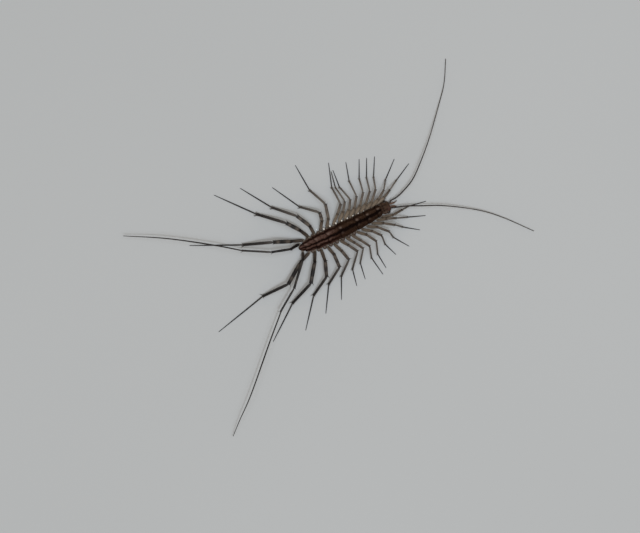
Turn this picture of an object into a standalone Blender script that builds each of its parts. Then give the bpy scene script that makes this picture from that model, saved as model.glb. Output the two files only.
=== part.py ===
"""House centipede at life size, standing still with its long legs spread over the floor.

Metres, +Z up. The floor is z = 0, the head points to -Y and the animal's left side is +X.
Sizes below are in millimetres. A place on the animal is (x, station, z): x to its left, station the
distance from the tip of the tail towards the head, and z the height over the floor.
"""

import math

import bpy
import numpy as np
from mathutils import Vector

MM = 0.001

# Driving dimensions of the body.
BODY_LENGTH = 28.0
HEAD_REAR = 25.4
TRUNK_REARS = (24.0, 20.75, 17.5, 12.4, 8.6, 4.9, 1.7)
LEGS_PER_LENGTH = (1, 2, 2, 3, 2, 2, 2)
GAP = 0.3

# Half width of the back plates along the body.
WIDTH_STATIONS = (0.0, 0.85, 1.85, 3.4, 5.6, 9.8, 14.0, 18.2, 21.0, 23.8, 25.4)
HALF_WIDTHS = (0.5, 0.9, 1.3, 1.7, 1.95, 2.06, 2.06, 1.95, 1.84, 1.7, 1.6)

# The body bends a little, and its middle line lies this far to its left.
SWAY_STATIONS = (0.0, 1.0, 2.5, 9.0, 12.0, 15.0, 18.0, 20.5, 22.5, 24.0, 25.5)
SWAYS = (0.0, -0.1, -0.3, -0.35, -0.3, -0.25, -0.15, -0.05, 0.1, 0.25, 0.38)
OVERHANG = 0.45
BELLY_Z = 0.42
WALL_FOOT_Z = 0.66
RIM_UNDER_Z = 1.55
RIM_Z = 1.75
BACK_Z = 2.8
TAIL_BACK_Z = 2.3
TAIL_SLOPE_STATION = 4.0

# Shares of the half width: the rim's lower edge, and the belly between the feet of the walls.
RIM_UNDER_SHARE = 0.96
BELLY_SHARE = 0.6

# Each back plate: its surface stands this much higher and wider at the rear edge than at the front,
# and the edge has a notch in the middle, a lobe on each side and a raised mouth of the air tubes.
# The plate's points go from the middle to the rim, by their share of its width and of its rise.
PLATE_STEP = 0.13
MARGIN_SHARES = (0.0, 0.14, 0.38, 0.72, 0.93, 1.0)
CROWN_SHARES = (1.0, 0.99, 0.93, 0.7, 0.32, 0.0)
MARGIN_REACH = (-0.28, -0.12, 0.16, 0.26, 0.22, 0.05)
SADDLE_RISE = 0.16
SADDLE_SIDE = 0.6

# How far the rings between a plate's edges lie from the nearer edge, with the share of the plate's
# length that a short plate keeps them to: behind the front edge, then two before the rear edge.
PLATE_RINGS = ((0.5, 0.22), (0.95, 0.6), (0.6, 0.42))

# The last plate is a roof that reaches past the trunk's own end, over the roots of the last legs.
TAIL_CORE_REAR = 0.9
TAIL_RING = 0.05
TAIL_MARGIN = (0.0, 0.0, 0.03, 0.14, 0.32, 0.45)

# Legs: heights of their joints and radii of their segments. The first eight pairs are alike, and
# the next five grow to the size of the rear ones.
FRONT_PAIRS = 8
GROWING_PAIRS = 5
LAST_PAIR = 15
HIP_Z = 1.0
LAST_HIP = (0.7, 0.8)
LAST_HIP_TURN = 20.0
HIP_TURN_START = 9
HIP_TURN_STEP = 10.0
COXA_LENGTH = 0.6
THIGH_Z = 3.8
KNEE_Z = 4.7
ANKLE_Z = 1.0
FRONT_RADII = {"coxa": 0.33, "prefemur": 0.41, "femur": 0.35, "tibia": 0.26, "tarsus": 0.25}
REAR_RADII = {"coxa": 0.38, "prefemur": 0.5, "femur": 0.54, "tibia": 0.41, "tarsus": 0.26}
LAST_RADII = {"coxa": 0.3, "prefemur": 0.4, "femur": 0.36, "tibia": 0.3, "tarsus": 0.25}
TIP_RADIUS = 0.12
TOUCHDOWN = 0.3
CORNER = 0.5
HIP_CORNER = 0.3
END_SWELL = 1.08
NECK = 0.86

# Feet come down to the floor at this share of their length, and lie on it in stops given as shares of
# the rest with shares of the radius.
FOOT_STOPS = ((0.0, 1.0), (0.45, 1.0), (0.85, 0.9))

# Spurs at the ends of the thick segments, on the outer side of each bend. They lean out and along.
SPUR_BASE = 0.42
SPUR_LENGTHS = (0.5, 1.0)
SPURS_PER_JOINT = 2
SPUR_OUT = 0.55
SPUR_ALONG = 0.8
SPUR_UPWARD_BIAS = 0.2
SPUR_CLEARANCE = 0.15

# Round limbs have six sides, and FLAT is how far a side lies from the middle, for a radius of one.
SIDES = 6
FLAT = math.cos(math.pi / SIDES)
FOOT_SPACING = 3.0
ANTENNA_SPACING = 2.2
MOUTHPART_SPACING = 0.8

# The photograph looks straight down. These are its pixels, x to the right and y down.
TAIL_PIXEL = Vector((298.9, 248.9))
HEAD_PIXEL = Vector((390.1, 206.8))
FORWARD = (HEAD_PIXEL - TAIL_PIXEL).normalized()
LEFTWARD = Vector((FORWARD.y, -FORWARD.x))
MM_PER_PIXEL = BODY_LENGTH / (HEAD_PIXEL - TAIL_PIXEL).length

# Joints of each leg in the photograph, from the first pair to the last: end of the prefemur, knee,
# ankle and tip.
LEFT_LEG_PIXELS = (
    ((384.2, 197.6), (389.6, 190.0), (396.0, 180.8), (408.5, 164.0)),
    ((378.2, 199.4), (383.6, 190.2), (385.3, 180.3), (394.0, 159.5)),
    ((371.3, 202.5), (375.4, 189.6), (373.5, 177.5), (374.5, 157.0)),
    ((365.5, 204.2), (369.6, 191.6), (366.5, 178.0), (366.6, 158.5)),
    ((359.9, 206.0), (362.9, 192.6), (359.2, 179.0), (359.1, 159.8)),
    ((354.3, 208.0), (356.4, 196.6), (349.2, 181.5), (345.9, 162.7)),
    ((349.0, 210.0), (350.2, 199.8), (339.6, 187.6), (333.0, 170.6)),
    ((343.0, 211.8), (344.8, 201.8), (335.4, 187.8), (331.2, 172.0)),
    ((337.4, 213.8), (340.6, 204.4), (331.8, 188.0), (328.6, 163.4)),
    ((328.3, 218.6), (325.4, 204.4), (309.8, 190.6), (295.4, 165.6)),
    ((321.9, 220.6), (319.6, 212.8), (299.6, 207.0), (272.8, 187.9)),
    ((309.6, 226.0), (297.0, 216.4), (271.9, 207.6), (240.6, 188.5)),
    ((299.5, 230.2), (286.5, 223.4), (256.4, 214.2), (214.5, 195.3)),
    ((291.0, 241.6), (273.6, 242.4), (243.0, 245.0), (190.1, 245.5)),
    ((291.0, 249.2), (271.9, 252.3), (242.7, 250.7), (124.1, 236.0)),
)
RIGHT_LEG_PIXELS = (
    ((392.8, 215.0), (402.0, 209.8), (408.2, 206.4), (425.6, 201.3)),
    ((386.8, 218.7), (396.2, 218.2), (407.4, 217.2), (425.1, 215.6)),
    ((383.5, 223.3), (395.0, 225.0), (402.4, 227.0), (419.4, 229.8)),
    ((377.4, 227.2), (389.0, 231.7), (393.4, 237.4), (408.7, 246.0)),
    ((372.2, 231.2), (381.6, 235.6), (385.1, 244.2), (395.6, 254.2)),
    ((366.5, 234.8), (376.2, 241.2), (377.8, 254.2), (385.8, 267.4)),
    ((360.8, 240.4), (369.6, 246.2), (371.6, 258.0), (382.7, 273.9)),
    ((354.6, 242.8), (363.2, 248.4), (360.3, 263.0), (365.1, 278.7)),
    ((348.4, 245.2), (357.6, 251.4), (352.5, 269.2), (356.7, 285.4)),
    ((342.0, 251.4), (349.0, 259.6), (341.4, 276.2), (341.5, 299.3)),
    ((334.2, 254.6), (339.6, 267.2), (328.8, 284.2), (325.9, 313.0)),
    ((325.4, 261.4), (326.7, 276.8), (313.8, 295.2), (305.8, 329.8)),
    ((314.8, 262.2), (311.0, 283.4), (292.8, 303.0), (273.4, 341.2)),
    ((300.8, 262.2), (288.6, 284.0), (263.0, 296.2), (219.2, 331.5)),
    ((303.0, 259.5), (294.4, 288.0), (281.0, 311.2), (233.4, 435.6)),
)

# The long feet of the last pair pass through these pixels, with their heights over the floor.
LAST_FEET = {
    "left": (((218.0, 245.9), 5.5), ((185.0, 240.8), 5.0), ((158.8, 237.9), 4.6)),
    "right": (((279.3, 316.6), 6.0), ((269.9, 341.9), 6.3), ((251.7, 393.1), 6.4), ((240.0, 419.7), 4.6)),
}
LAST_HEIGHTS = {
    "left": {"thigh": 4.0, "knee": 5.2, "ankle": 4.8, "tip": 3.2},
    "right": {"thigh": 4.4, "knee": 5.6, "ankle": 5.9, "tip": 2.0},
}

# The thighs of these pairs stay low, the first beside the eyes and the last but one under the last
# pair, and so do the knees of the first pair.
LOW_THIGHS_Z = {1: 1.7, 14: 2.7}
LOW_KNEES_Z = {1: 3.6}

# The foot of this leg lies over the foot of the leg behind it.
CROSSING_LEG = ("left", 8)
CROSSING_FOOT_Z = 0.95

# Antennae through the photograph's pixels, with their heights over the floor.
ANTENNAE = {
    "left": (((391.0, 200.4), 1.95), ((396.0, 197.6), 2.15), ((402.4, 191.8), 2.5), ((412.4, 179.4), 3.1),
             ((420.8, 160.8), 3.6), ((429.4, 137.0), 3.0), ((438.3, 106.1), 1.3), ((443.9, 83.7), 0.7),
             ((445.6, 59.0), 0.45)),
    "right": (((394.0, 207.6), 2.15), ((404.8, 206.2), 2.95), ((420.0, 205.9), 3.3), ((444.0, 205.8), 3.0),
              ((477.6, 210.0), 1.7), ((502.9, 217.5), 0.9), ((533.7, 231.0), 0.5)),
}
ANTENNA_ROOTS = {"left": (0.78, 28.4, 1.85), "right": (-0.78, 28.4, 1.85)}
ANTENNA_RADIUS = 0.25
SCAPE_RADIUS = 0.3

# The head: half widths, undersides and tops of its cross-sections, from the neck to the front.
HEAD_SECTIONS = (
    (HEAD_REAR, 1.25, 1.12, 2.45),
    (25.9, 1.55, 1.08, 2.66),
    (26.32, 1.55, 1.06, 2.72),
    (26.48, 1.22, 1.06, 2.7),
    (27.4, 1.22, 1.02, 2.6),
    (27.75, 1.25, 1.0, 2.42),
    (BODY_LENGTH, 1.1, 1.0, 2.2),
)
EYE_STATION = 26.98
EYE_Z = 1.9
EYE_REACH = 0.42
EYE_RADII = (0.46, 0.5)
EYE_RINGS = ((0.0, 0.9), (0.35, 1.0), (0.75, 0.72))
EYE_SIDES = 10
HEAD_SIDES = 14
HEAD_BULGE = 0.8

# Mouthparts as (x, station, z), from root to tip, on the left side.
FORCIPULE = ((0.7, 25.5, 0.6), (0.95, 26.1, 0.5), (1.0, 26.7, 0.44), (0.75, 27.3, 0.42), (0.34, 27.7, 0.45))
FORCIPULE_RADII = (0.3, 0.34, 0.3, 0.25, 0.1)
PALPS = {
    "left": ((0.4, 28.3, 1.25), (0.3, 28.8, 1.15), (0.2, 29.5, 0.95), (0.45, 30.4, 0.6)),
    "right": ((-0.4, 28.3, 1.25), (-0.5, 28.8, 1.15), (-0.9, 29.4, 0.85), (-1.4, 29.9, 0.45)),
}
PALP_RADII = (0.25, 0.26, 0.25, 0.12)

COLOURS = {
    "body": (0.045, 0.022, 0.014),
    "leg": (0.10, 0.07, 0.055),
    "eye": (0.012, 0.01, 0.01),
}


def clear_scene():
    for obj in list(bpy.data.objects):
        bpy.data.objects.remove(obj, do_unlink=True)


def surface(name, colour, roughness):
    """A plain coloured finish."""
    finish = bpy.data.materials.new(name)
    finish.use_nodes = True
    shader = finish.node_tree.nodes["Principled BSDF"]
    shader.inputs["Base Color"].default_value = (*colour, 1.0)
    shader.inputs["Roughness"].default_value = roughness
    shader.inputs["Metallic"].default_value = 0.0
    return finish


def place(x, station, z):
    """The point (x, station, z) in the animal's own axes, in millimetres."""
    return Vector((x, -station, z))


def pixel_place(pixel, z):
    """The point at height z that the photograph shows at this pixel."""
    offset = Vector(pixel) - TAIL_PIXEL
    x = offset.dot(LEFTWARD) * MM_PER_PIXEL
    station = offset.dot(FORWARD) * MM_PER_PIXEL
    return place(x, station, z)


def body_place(x, station, z):
    """The point x to the left of the body's own middle line."""
    return place(x + float(np.interp(station, SWAY_STATIONS, SWAYS)), station, z)


def half_width(station):
    return float(np.interp(station, WIDTH_STATIONS, HALF_WIDTHS))


def wall(station):
    """Half width of the trunk's own side wall, under the overhang of the back plates."""
    return half_width(station) - OVERHANG


def make_object(name, points, faces, finish, holder):
    """A mesh object from points in millimetres."""
    mesh = bpy.data.meshes.new(name)
    mesh.from_pydata([point * MM for point in points], [], faces)
    mesh.materials.append(finish)
    mesh.shade_smooth()
    mesh.set_sharp_from_angle(angle=math.radians(40))
    obj = bpy.data.objects.new(name, mesh)
    bpy.context.scene.collection.objects.link(obj)
    obj.parent = holder
    return obj


def skin_faces(count, sides):
    """Quads between neighbouring rings, facing out where the rings run anticlockwise round their path."""
    faces = []
    for ring in range(count - 1):
        for side in range(sides):
            near = ring * sides + side
            beside = ring * sides + (side + 1) % sides
            faces.append((near, beside, beside + sides, near + sides))
    return faces


def around(along, angle):
    """The direction at this angle round a tube that runs along the given one, from its right side up."""
    across = along.cross(Vector((0, 0, 1))).normalized()
    up = across.cross(along).normalized()
    return math.cos(angle) * across + math.sin(angle) * up


def tube(name, stops, finish, holder, spurs=()):
    """A closed six-sided tube. Each stop is its centre, the direction along the tube and the radius.

    A spur is the stop before it, the side it stands on and its tip, which draws that face out to a point.
    """
    points = []
    for centre, along, radius in stops:
        for side in range(SIDES):
            points.append(centre + radius * around(along, 2 * math.pi * side / SIDES))
    faces = skin_faces(len(stops), SIDES)
    for stop, side, tip in spurs:
        base = faces[stop * SIDES + side]
        faces[stop * SIDES + side] = (base[0], base[1], len(points))
        faces += [(base[corner], base[(corner + 1) % 4], len(points)) for corner in (1, 2, 3)]
        points.append(tip)
    faces = [tuple(reversed(face)) for face in faces]
    first = list(range(SIDES))
    last = [index + SIDES * (len(stops) - 1) for index in range(SIDES)]
    faces.append(first)
    faces.append(list(reversed(last)))
    return make_object(name, points, faces, finish, holder)


def corner_stops(before, corner, after, reach, radius):
    """Three stops that round a corner of the path."""
    arriving = (corner - before).normalized()
    leaving = (after - corner).normalized()
    start = corner - arriving * reach
    end = corner + leaving * reach
    middle = start * 0.25 + corner * 0.5 + end * 0.25
    return [
        (start, arriving, radius),
        (middle, (arriving + leaving).normalized(), radius),
        (end, leaving, radius),
    ]


def joint_stops(before, joint, after, thick, thin):
    """Stops at a joint of a leg: the swollen end of one segment, the narrow joint and the next one."""
    start, middle, end = corner_stops(before, joint, after, CORNER, thin)
    neck = min(thick, thin) * NECK
    swollen = thick * END_SWELL
    return [
        (start[0] - start[1] * SPUR_BASE, start[1], thick),
        (start[0], start[1], swollen),
        (middle[0], middle[1], neck),
        end,
    ]


def spur_tips(first, stops, length):
    """Spurs on the two faces that lie furthest out on the bend after this stop."""
    centre, along, radius = stops[first]
    outward = along - stops[first + 3][1] + Vector((0, 0, SPUR_UPWARD_BIAS))
    normals = [around(along, 2 * math.pi * (side + 0.5) / SIDES) for side in range(SIDES)]
    ranked = sorted(range(SIDES), key=lambda side: -normals[side].dot(outward))
    spurs = []
    for side in ranked[:SPURS_PER_JOINT]:
        base = (centre + stops[first + 1][0]) / 2 + normals[side] * radius * FLAT
        tip = base + (SPUR_OUT * normals[side] + SPUR_ALONG * along) * length
        tip.z = max(tip.z, SPUR_CLEARANCE)
        spurs.append((first, side, tip))
    return spurs


def smooth_stops(anchors, radii, spacing):
    """Stops along a smooth curve through the anchors, with the radius following the anchors' radii."""
    knots = np.array([tuple(anchor) for anchor in anchors])
    ends = np.vstack([2 * knots[0] - knots[1], knots, 2 * knots[-1] - knots[-2]])
    centres = []
    widths = []
    for index in range(len(knots) - 1):
        p0, p1, p2, p3 = ends[index:index + 4]
        steps = max(1, round(float(np.linalg.norm(p2 - p1)) / spacing))
        for step in range(steps):
            t = step / steps
            bend = 2 * p1 + (p2 - p0) * t + (2 * p0 - 5 * p1 + 4 * p2 - p3) * t**2
            centres.append(Vector((bend + (3 * p1 - p0 - 3 * p2 + p3) * t**3) / 2))
            widths.append(radii[index] + (radii[index + 1] - radii[index]) * t)
    centres.append(Vector(knots[-1]))
    widths.append(radii[-1])
    stops = []
    for index, (centre, radius) in enumerate(zip(centres, widths)):
        behind = centres[max(index - 1, 0)]
        ahead = centres[min(index + 1, len(centres) - 1)]
        stops.append((centre, (ahead - behind).normalized(), radius))
    return stops


def trunk_ring(station, rise, saddle=0.0, reaches=(0.0,) * len(MARGIN_SHARES), core_station=None):
    """A cross-section of the trunk: its back plate over the narrower wall and belly.

    The plate's points reach back from the station by the given lengths, from the middle to the rim.
    """
    width = half_width(station) + rise
    core_station = station if core_station is None else core_station
    core = wall(core_station)
    slope = min(1.0, station / TAIL_SLOPE_STATION)
    back = TAIL_BACK_Z + (BACK_Z - TAIL_BACK_Z) * slope + rise
    half = []
    for share, crown, reach in zip(MARGIN_SHARES, CROWN_SHARES, reaches):
        half.append((share * width, station - reach, RIM_Z + crown * (back - RIM_Z)))
    for index, lift in enumerate((saddle, SADDLE_SIDE * saddle)):
        x, along, z = half[index]
        half[index] = (x, along, z + lift)
    half += [
        (RIM_UNDER_SHARE * width, station - reaches[-1], RIM_UNDER_Z),
        (core, core_station, RIM_UNDER_Z),
        (core, core_station, WALL_FOOT_Z),
        (BELLY_SHARE * core, core_station, BELLY_Z),
    ]
    left = [body_place(x, along, z) for x, along, z in half[1:]]
    right = [body_place(-x, along, z) for x, along, z in reversed(half[1:])]
    return [body_place(*half[0])] + left + right


def cap_faces(start, sides):
    """A ladder of faces across one end of a trunk length, from its back down to its belly."""
    faces = [(start, start + 1, start + sides - 1)]
    for rung in range(1, sides // 2):
        faces.append((start + rung, start + rung + 1, start + sides - rung - 1, start + sides - rung))
    return faces


def make_length(name, rings, finish, holder):
    """One closed length of the trunk from its cross-sections, front to rear."""
    sides = len(rings[0])
    points = [point for ring in rings for point in ring]
    faces = skin_faces(len(rings), sides)
    faces += [tuple(reversed(face)) for face in cap_faces(0, sides)]
    faces += cap_faces(sides * (len(rings) - 1), sides)
    make_object(name, points, faces, finish, holder)


def make_trunk(finish, holder):
    """The trunk in lengths, each under one plate that stands highest at its rear edge."""
    lip = (max(MARGIN_REACH),) * len(MARGIN_SHARES)
    level = (0.0,) * len(MARGIN_SHARES)
    fronts = (HEAD_REAR,) + TRUNK_REARS[:-1]
    for index, (front, rear) in enumerate(zip(fronts, TRUNK_REARS)):
        near = front - GAP
        length = near - rear
        fore, saddle_start, saddle_peak = [min(reach, share * length) for reach, share in PLATE_RINGS]
        rings = [
            trunk_ring(near, -PLATE_STEP, reaches=level if index == 0 else lip),
            trunk_ring(near - fore, -PLATE_STEP / 2),
            trunk_ring(rear + saddle_start, PLATE_STEP / 2),
            trunk_ring(rear + saddle_peak, PLATE_STEP, SADDLE_RISE),
            trunk_ring(rear, PLATE_STEP, SADDLE_RISE / 2, MARGIN_REACH),
        ]
        make_length(f"trunk_{index + 1:02d}", rings, finish, holder)
    near = TRUNK_REARS[-1] - GAP
    rings = [
        trunk_ring(near, -PLATE_STEP, reaches=lip),
        trunk_ring(TAIL_CORE_REAR + TAIL_RING, -PLATE_STEP / 2),
        trunk_ring(0.0, 0.0, reaches=[-reach for reach in TAIL_MARGIN], core_station=TAIL_CORE_REAR),
    ]
    make_length("tail", rings, finish, holder)


def make_head(finish, holder):
    """The head capsule, a run of rounded sections."""
    points = []
    for station, width, under, top in HEAD_SECTIONS:
        middle = (under + top) / 2
        height = (top - under) / 2
        for side in range(HEAD_SIDES):
            angle = 2 * math.pi * (side + 0.5) / HEAD_SIDES
            x = width * math.copysign(abs(math.cos(angle)) ** HEAD_BULGE, math.cos(angle))
            z = middle + height * math.copysign(abs(math.sin(angle)) ** HEAD_BULGE, math.sin(angle))
            points.append(body_place(x, station, z))
    faces = skin_faces(len(HEAD_SECTIONS), HEAD_SIDES)
    faces.append(list(reversed(range(HEAD_SIDES))))
    faces.append([index + HEAD_SIDES * (len(HEAD_SECTIONS) - 1) for index in range(HEAD_SIDES)])
    make_object("head", points, faces, finish, holder)


def head_half_width(station):
    stations = [section[0] for section in HEAD_SECTIONS]
    widths = [section[1] for section in HEAD_SECTIONS]
    return float(np.interp(station, stations, widths))


def make_eye(name, sign, finish, holder):
    """A domed eye that faces the side of the head across the gap."""
    base = head_half_width(EYE_STATION) + GAP
    points = []
    for depth, spread in EYE_RINGS:
        for side in range(EYE_SIDES):
            angle = 2 * math.pi * side / EYE_SIDES
            station = EYE_STATION + EYE_RADII[0] * spread * math.cos(angle)
            z = EYE_Z + EYE_RADII[1] * spread * math.sin(angle)
            points.append(body_place(sign * (base + depth * EYE_REACH), station, z))
    points.append(body_place(sign * (base + EYE_REACH), EYE_STATION, EYE_Z))
    faces = skin_faces(len(EYE_RINGS), EYE_SIDES)
    faces.append(list(reversed(range(EYE_SIDES))))
    top = len(points) - 1
    for side in range(EYE_SIDES):
        faces.append((top - EYE_SIDES + side, top - EYE_SIDES + (side + 1) % EYE_SIDES, top))
    if sign > 0:
        faces = [tuple(reversed(face)) for face in faces]
    make_object(name, points, faces, finish, holder)


def hip_stations():
    """Where the legs leave the trunk: evenly along each of its lengths, and behind the tail's core."""
    fronts = (HEAD_REAR,) + TRUNK_REARS[:-1]
    stations = []
    for front, rear, count in zip(fronts, TRUNK_REARS, LEGS_PER_LENGTH):
        for index in range(count):
            stations.append(front - (front - rear) * (index + 0.5) / count)
    return stations + [LAST_HIP[1]]


def leg_radii(number):
    """Segment radii, which grow from the front legs to the rear ones, with a thinner last pair."""
    if number == LAST_PAIR:
        return LAST_RADII
    share = min(1.0, max(0.0, (number - FRONT_PAIRS) / GROWING_PAIRS))
    return {part: FRONT_RADII[part] + share * (REAR_RADII[part] - FRONT_RADII[part]) for part in FRONT_RADII}


def hip(sign, number, station, radius):
    """Centre and direction of a leg's first face, which turns back on the rear legs."""
    turn = math.radians(max(0.0, (number - HIP_TURN_START) * HIP_TURN_STEP))
    x = max(wall(station), wall(station + radius)) + GAP + radius * math.sin(turn)
    if number == LAST_PAIR:
        turn = math.radians(LAST_HIP_TURN)
        x = LAST_HIP[0]
    return body_place(sign * x, station, HIP_Z), Vector((sign * math.cos(turn), math.sin(turn), 0.0))


def floor_stops(ankle, tip, radius, lift):
    """The foot, which comes down to the floor and lies on its lowest side out to the tip."""
    level = radius * FLAT + lift
    landing = ankle.lerp(tip, TOUCHDOWN)
    landing.z = level
    heading = tip - landing
    heading.z = 0
    heading.normalize()
    stops = []
    for share, width in FOOT_STOPS:
        centre = landing.lerp(tip, share)
        centre.z = radius * width * FLAT + lift
        stops.append((centre, heading, radius * width))
    end = tip.copy()
    end.z = TIP_RADIUS * FLAT + lift
    stops.append((end, heading, TIP_RADIUS))
    return landing, stops


def make_leg(side, number, hip_station, pixels, finish, holder):
    sign = 1 if side == "left" else -1
    radii = leg_radii(number)
    last = number == LAST_PAIR
    thigh_pixel, knee_pixel, ankle_pixel, tip_pixel = pixels
    heights = {
        "thigh": LOW_THIGHS_Z.get(number, THIGH_Z),
        "knee": LOW_KNEES_Z.get(number, KNEE_Z),
        "ankle": ANKLE_Z,
        "tip": 0.0,
    }
    if last:
        heights = LAST_HEIGHTS[side]
    root, outward = hip(sign, number, hip_station, radii["coxa"])
    coxa_end = root + outward * COXA_LENGTH
    thigh = pixel_place(thigh_pixel, heights["thigh"])
    knee = pixel_place(knee_pixel, heights["knee"])
    ankle = pixel_place(ankle_pixel, heights["ankle"])
    tip = pixel_place(tip_pixel, heights["tip"])
    share = (radii["prefemur"] - FRONT_RADII["prefemur"]) / (REAR_RADII["prefemur"] - FRONT_RADII["prefemur"])
    spur_length = SPUR_LENGTHS[0] + share * (SPUR_LENGTHS[1] - SPUR_LENGTHS[0])
    stops = [(root, outward, radii["coxa"])]
    stops += corner_stops(root, coxa_end, thigh, HIP_CORNER, radii["coxa"])[1:]
    joints = [len(stops)]
    stops += joint_stops(coxa_end, thigh, knee, radii["prefemur"], radii["femur"])
    joints.append(len(stops))
    if last:
        anchors = [ankle] + [pixel_place(pixel, z) for pixel, z in LAST_FEET[side]] + [tip]
        stops += joint_stops(thigh, knee, ankle, radii["femur"], radii["tibia"])
        joints.append(len(stops))
        stops += joint_stops(knee, ankle, anchors[1], radii["tibia"], radii["tarsus"])
        anchors[0] = stops[-1][0]
        widths = [radii["tarsus"]] * (len(anchors) - 1) + [TIP_RADIUS]
        stops += smooth_stops(anchors, widths, FOOT_SPACING)[1:]
    else:
        lift = CROSSING_FOOT_Z if (side, number) == CROSSING_LEG else 0.0
        ankle.z += lift / 2
        landing, foot = floor_stops(ankle, tip, radii["tarsus"], lift)
        stops += joint_stops(thigh, knee, ankle, radii["femur"], radii["tibia"])
        joints.append(len(stops))
        stops += joint_stops(knee, ankle, landing, radii["tibia"], radii["tarsus"])
        stops += foot
    spurs = [spur for joint in joints for spur in spur_tips(joint, stops, spur_length)]
    tube(f"leg_{side}_{number:02d}", stops, finish, holder, spurs)


def make_legs(finish, holder):
    stations = hip_stations()
    for side, rows in (("left", LEFT_LEG_PIXELS), ("right", RIGHT_LEG_PIXELS)):
        for number, (station, pixels) in enumerate(zip(stations, rows), start=1):
            make_leg(side, number, station, pixels, finish, holder)


def make_antenna(side, finish, holder):
    """A thin whip from the front of the head."""
    anchors = [body_place(*ANTENNA_ROOTS[side])] + [pixel_place(pixel, z) for pixel, z in ANTENNAE[side]]
    radii = [SCAPE_RADIUS, SCAPE_RADIUS] + [ANTENNA_RADIUS] * (len(anchors) - 3) + [TIP_RADIUS]
    tube(f"antenna_{side}", smooth_stops(anchors, radii, ANTENNA_SPACING), finish, holder)


def make_mouthparts(finish, holder):
    """The pair of poison claws under the head and the pair of palps before it."""
    for side, sign in (("left", 1), ("right", -1)):
        claw = [body_place(sign * x, station, z) for x, station, z in FORCIPULE]
        tube(f"forcipule_{side}", smooth_stops(claw, FORCIPULE_RADII, MOUTHPART_SPACING), finish, holder)
        palp = [body_place(x, station, z) for x, station, z in PALPS[side]]
        tube(f"palp_{side}", smooth_stops(palp, PALP_RADII, MOUTHPART_SPACING), finish, holder)


def centre_on_floor(holder):
    """Moves the holder so that the whole animal stands centred over the origin."""
    corners = [point.co for obj in holder.children for point in obj.data.vertices]
    middle_x = (min(point.x for point in corners) + max(point.x for point in corners)) / 2
    middle_y = (min(point.y for point in corners) + max(point.y for point in corners)) / 2
    holder.location = (-middle_x, -middle_y, 0.0)


def main():
    clear_scene()
    holder = bpy.data.objects.new("centipede", None)
    bpy.context.scene.collection.objects.link(holder)
    body = surface("body", COLOURS["body"], 0.45)
    leg = surface("leg", COLOURS["leg"], 0.5)
    eye = surface("eye", COLOURS["eye"], 0.2)
    make_trunk(body, holder)
    make_head(body, holder)
    make_legs(leg, holder)
    for side, sign in (("left", 1), ("right", -1)):
        make_eye(f"eye_{side}", sign, eye, holder)
        make_antenna(side, leg, holder)
    make_mouthparts(leg, holder)
    centre_on_floor(holder)


main()
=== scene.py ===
"""The looks of a house centipede at life size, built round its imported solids.

Sizes are in millimetres. A place on the animal is (x, station, z): x to its left, station the distance
from the tip of the tail towards the head, and z the height over the floor. spot() turns it into the
animal's own axes, with the head towards -Y, and every mesh is moved from there into the frame.
"""

import math

import bpy
import numpy as np
from mathutils import Matrix, Vector


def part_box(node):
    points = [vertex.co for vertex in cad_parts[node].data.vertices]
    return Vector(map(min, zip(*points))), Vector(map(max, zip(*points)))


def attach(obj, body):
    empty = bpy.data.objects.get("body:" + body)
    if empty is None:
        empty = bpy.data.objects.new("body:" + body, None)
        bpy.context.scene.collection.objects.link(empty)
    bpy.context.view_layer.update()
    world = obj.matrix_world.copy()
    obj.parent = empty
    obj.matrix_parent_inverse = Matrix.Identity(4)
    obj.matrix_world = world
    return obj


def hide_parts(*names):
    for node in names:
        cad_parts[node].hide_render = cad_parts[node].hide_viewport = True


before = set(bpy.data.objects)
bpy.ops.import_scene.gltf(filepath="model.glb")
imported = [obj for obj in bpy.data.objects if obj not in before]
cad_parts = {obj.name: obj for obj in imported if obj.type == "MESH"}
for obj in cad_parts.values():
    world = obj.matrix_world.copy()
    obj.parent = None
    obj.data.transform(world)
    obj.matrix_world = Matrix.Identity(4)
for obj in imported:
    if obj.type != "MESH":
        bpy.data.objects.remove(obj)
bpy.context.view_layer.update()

MM = 0.001
BODY = "root"
BODY_LENGTH = 28.0
SIDES = {"left": 1, "right": -1}

# The trunk, from the head's rear edge to the tail's tip.
HEAD_REAR = 25.4
TRUNK_REARS = (24.0, 20.75, 17.5, 12.4, 8.6, 4.9, 1.7)
LEGS_PER_LENGTH = (1, 2, 2, 3, 2, 2, 2)
WIDTH_STATIONS = (0.0, 0.85, 1.85, 3.4, 5.6, 9.8, 14.0, 18.2, 21.0, 23.8, 25.4)
HALF_WIDTHS = (0.5, 0.9, 1.3, 1.7, 1.95, 2.06, 2.06, 1.95, 1.84, 1.7, 1.6)

# The body bends a little, and its middle line lies this far to its left.
SWAY_STATIONS = (0.0, 1.0, 2.5, 9.0, 12.0, 15.0, 18.0, 20.5, 22.5, 24.0, 25.5)
SWAYS = (0.0, -0.1, -0.3, -0.35, -0.3, -0.25, -0.15, -0.05, 0.1, 0.25, 0.38)

# The head's front stands BODY_LENGTH from the tail's tip.
head_low, head_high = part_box("head")
HEAD_MIDDLE = (head_low.x + head_high.x) / 2 - SWAYS[-1] * MM
ORIGIN = np.array((HEAD_MIDDLE, head_low.y + BODY_LENGTH * MM, 0.0))

# The cross-section: how far the back plates hang over the flanks, heights of its parts, and the skin.
OVERHANG = 0.45
RIM_Z = 1.75
BACK_Z = 2.8
TAIL_BACK_Z = 2.3
TAIL_SLOPE_STATION = 4.0
BELLY_Z = 0.45
SKIN_TOP_Z = 2.4
SKIN_FRONT = 25.35
SKIN_REAR = 0.55
SKIN_RINGS = 420
SKIN_SIDES = 56
SKIN_BULGE = 0.75

# Belly shields: half lengths of the front ones and the shorter rear ones, and how many are long.
SHIELD_REACHES = (0.62, 0.52)
LONG_SHIELDS = 12
SHIELD_THICKNESS = 0.09

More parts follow.
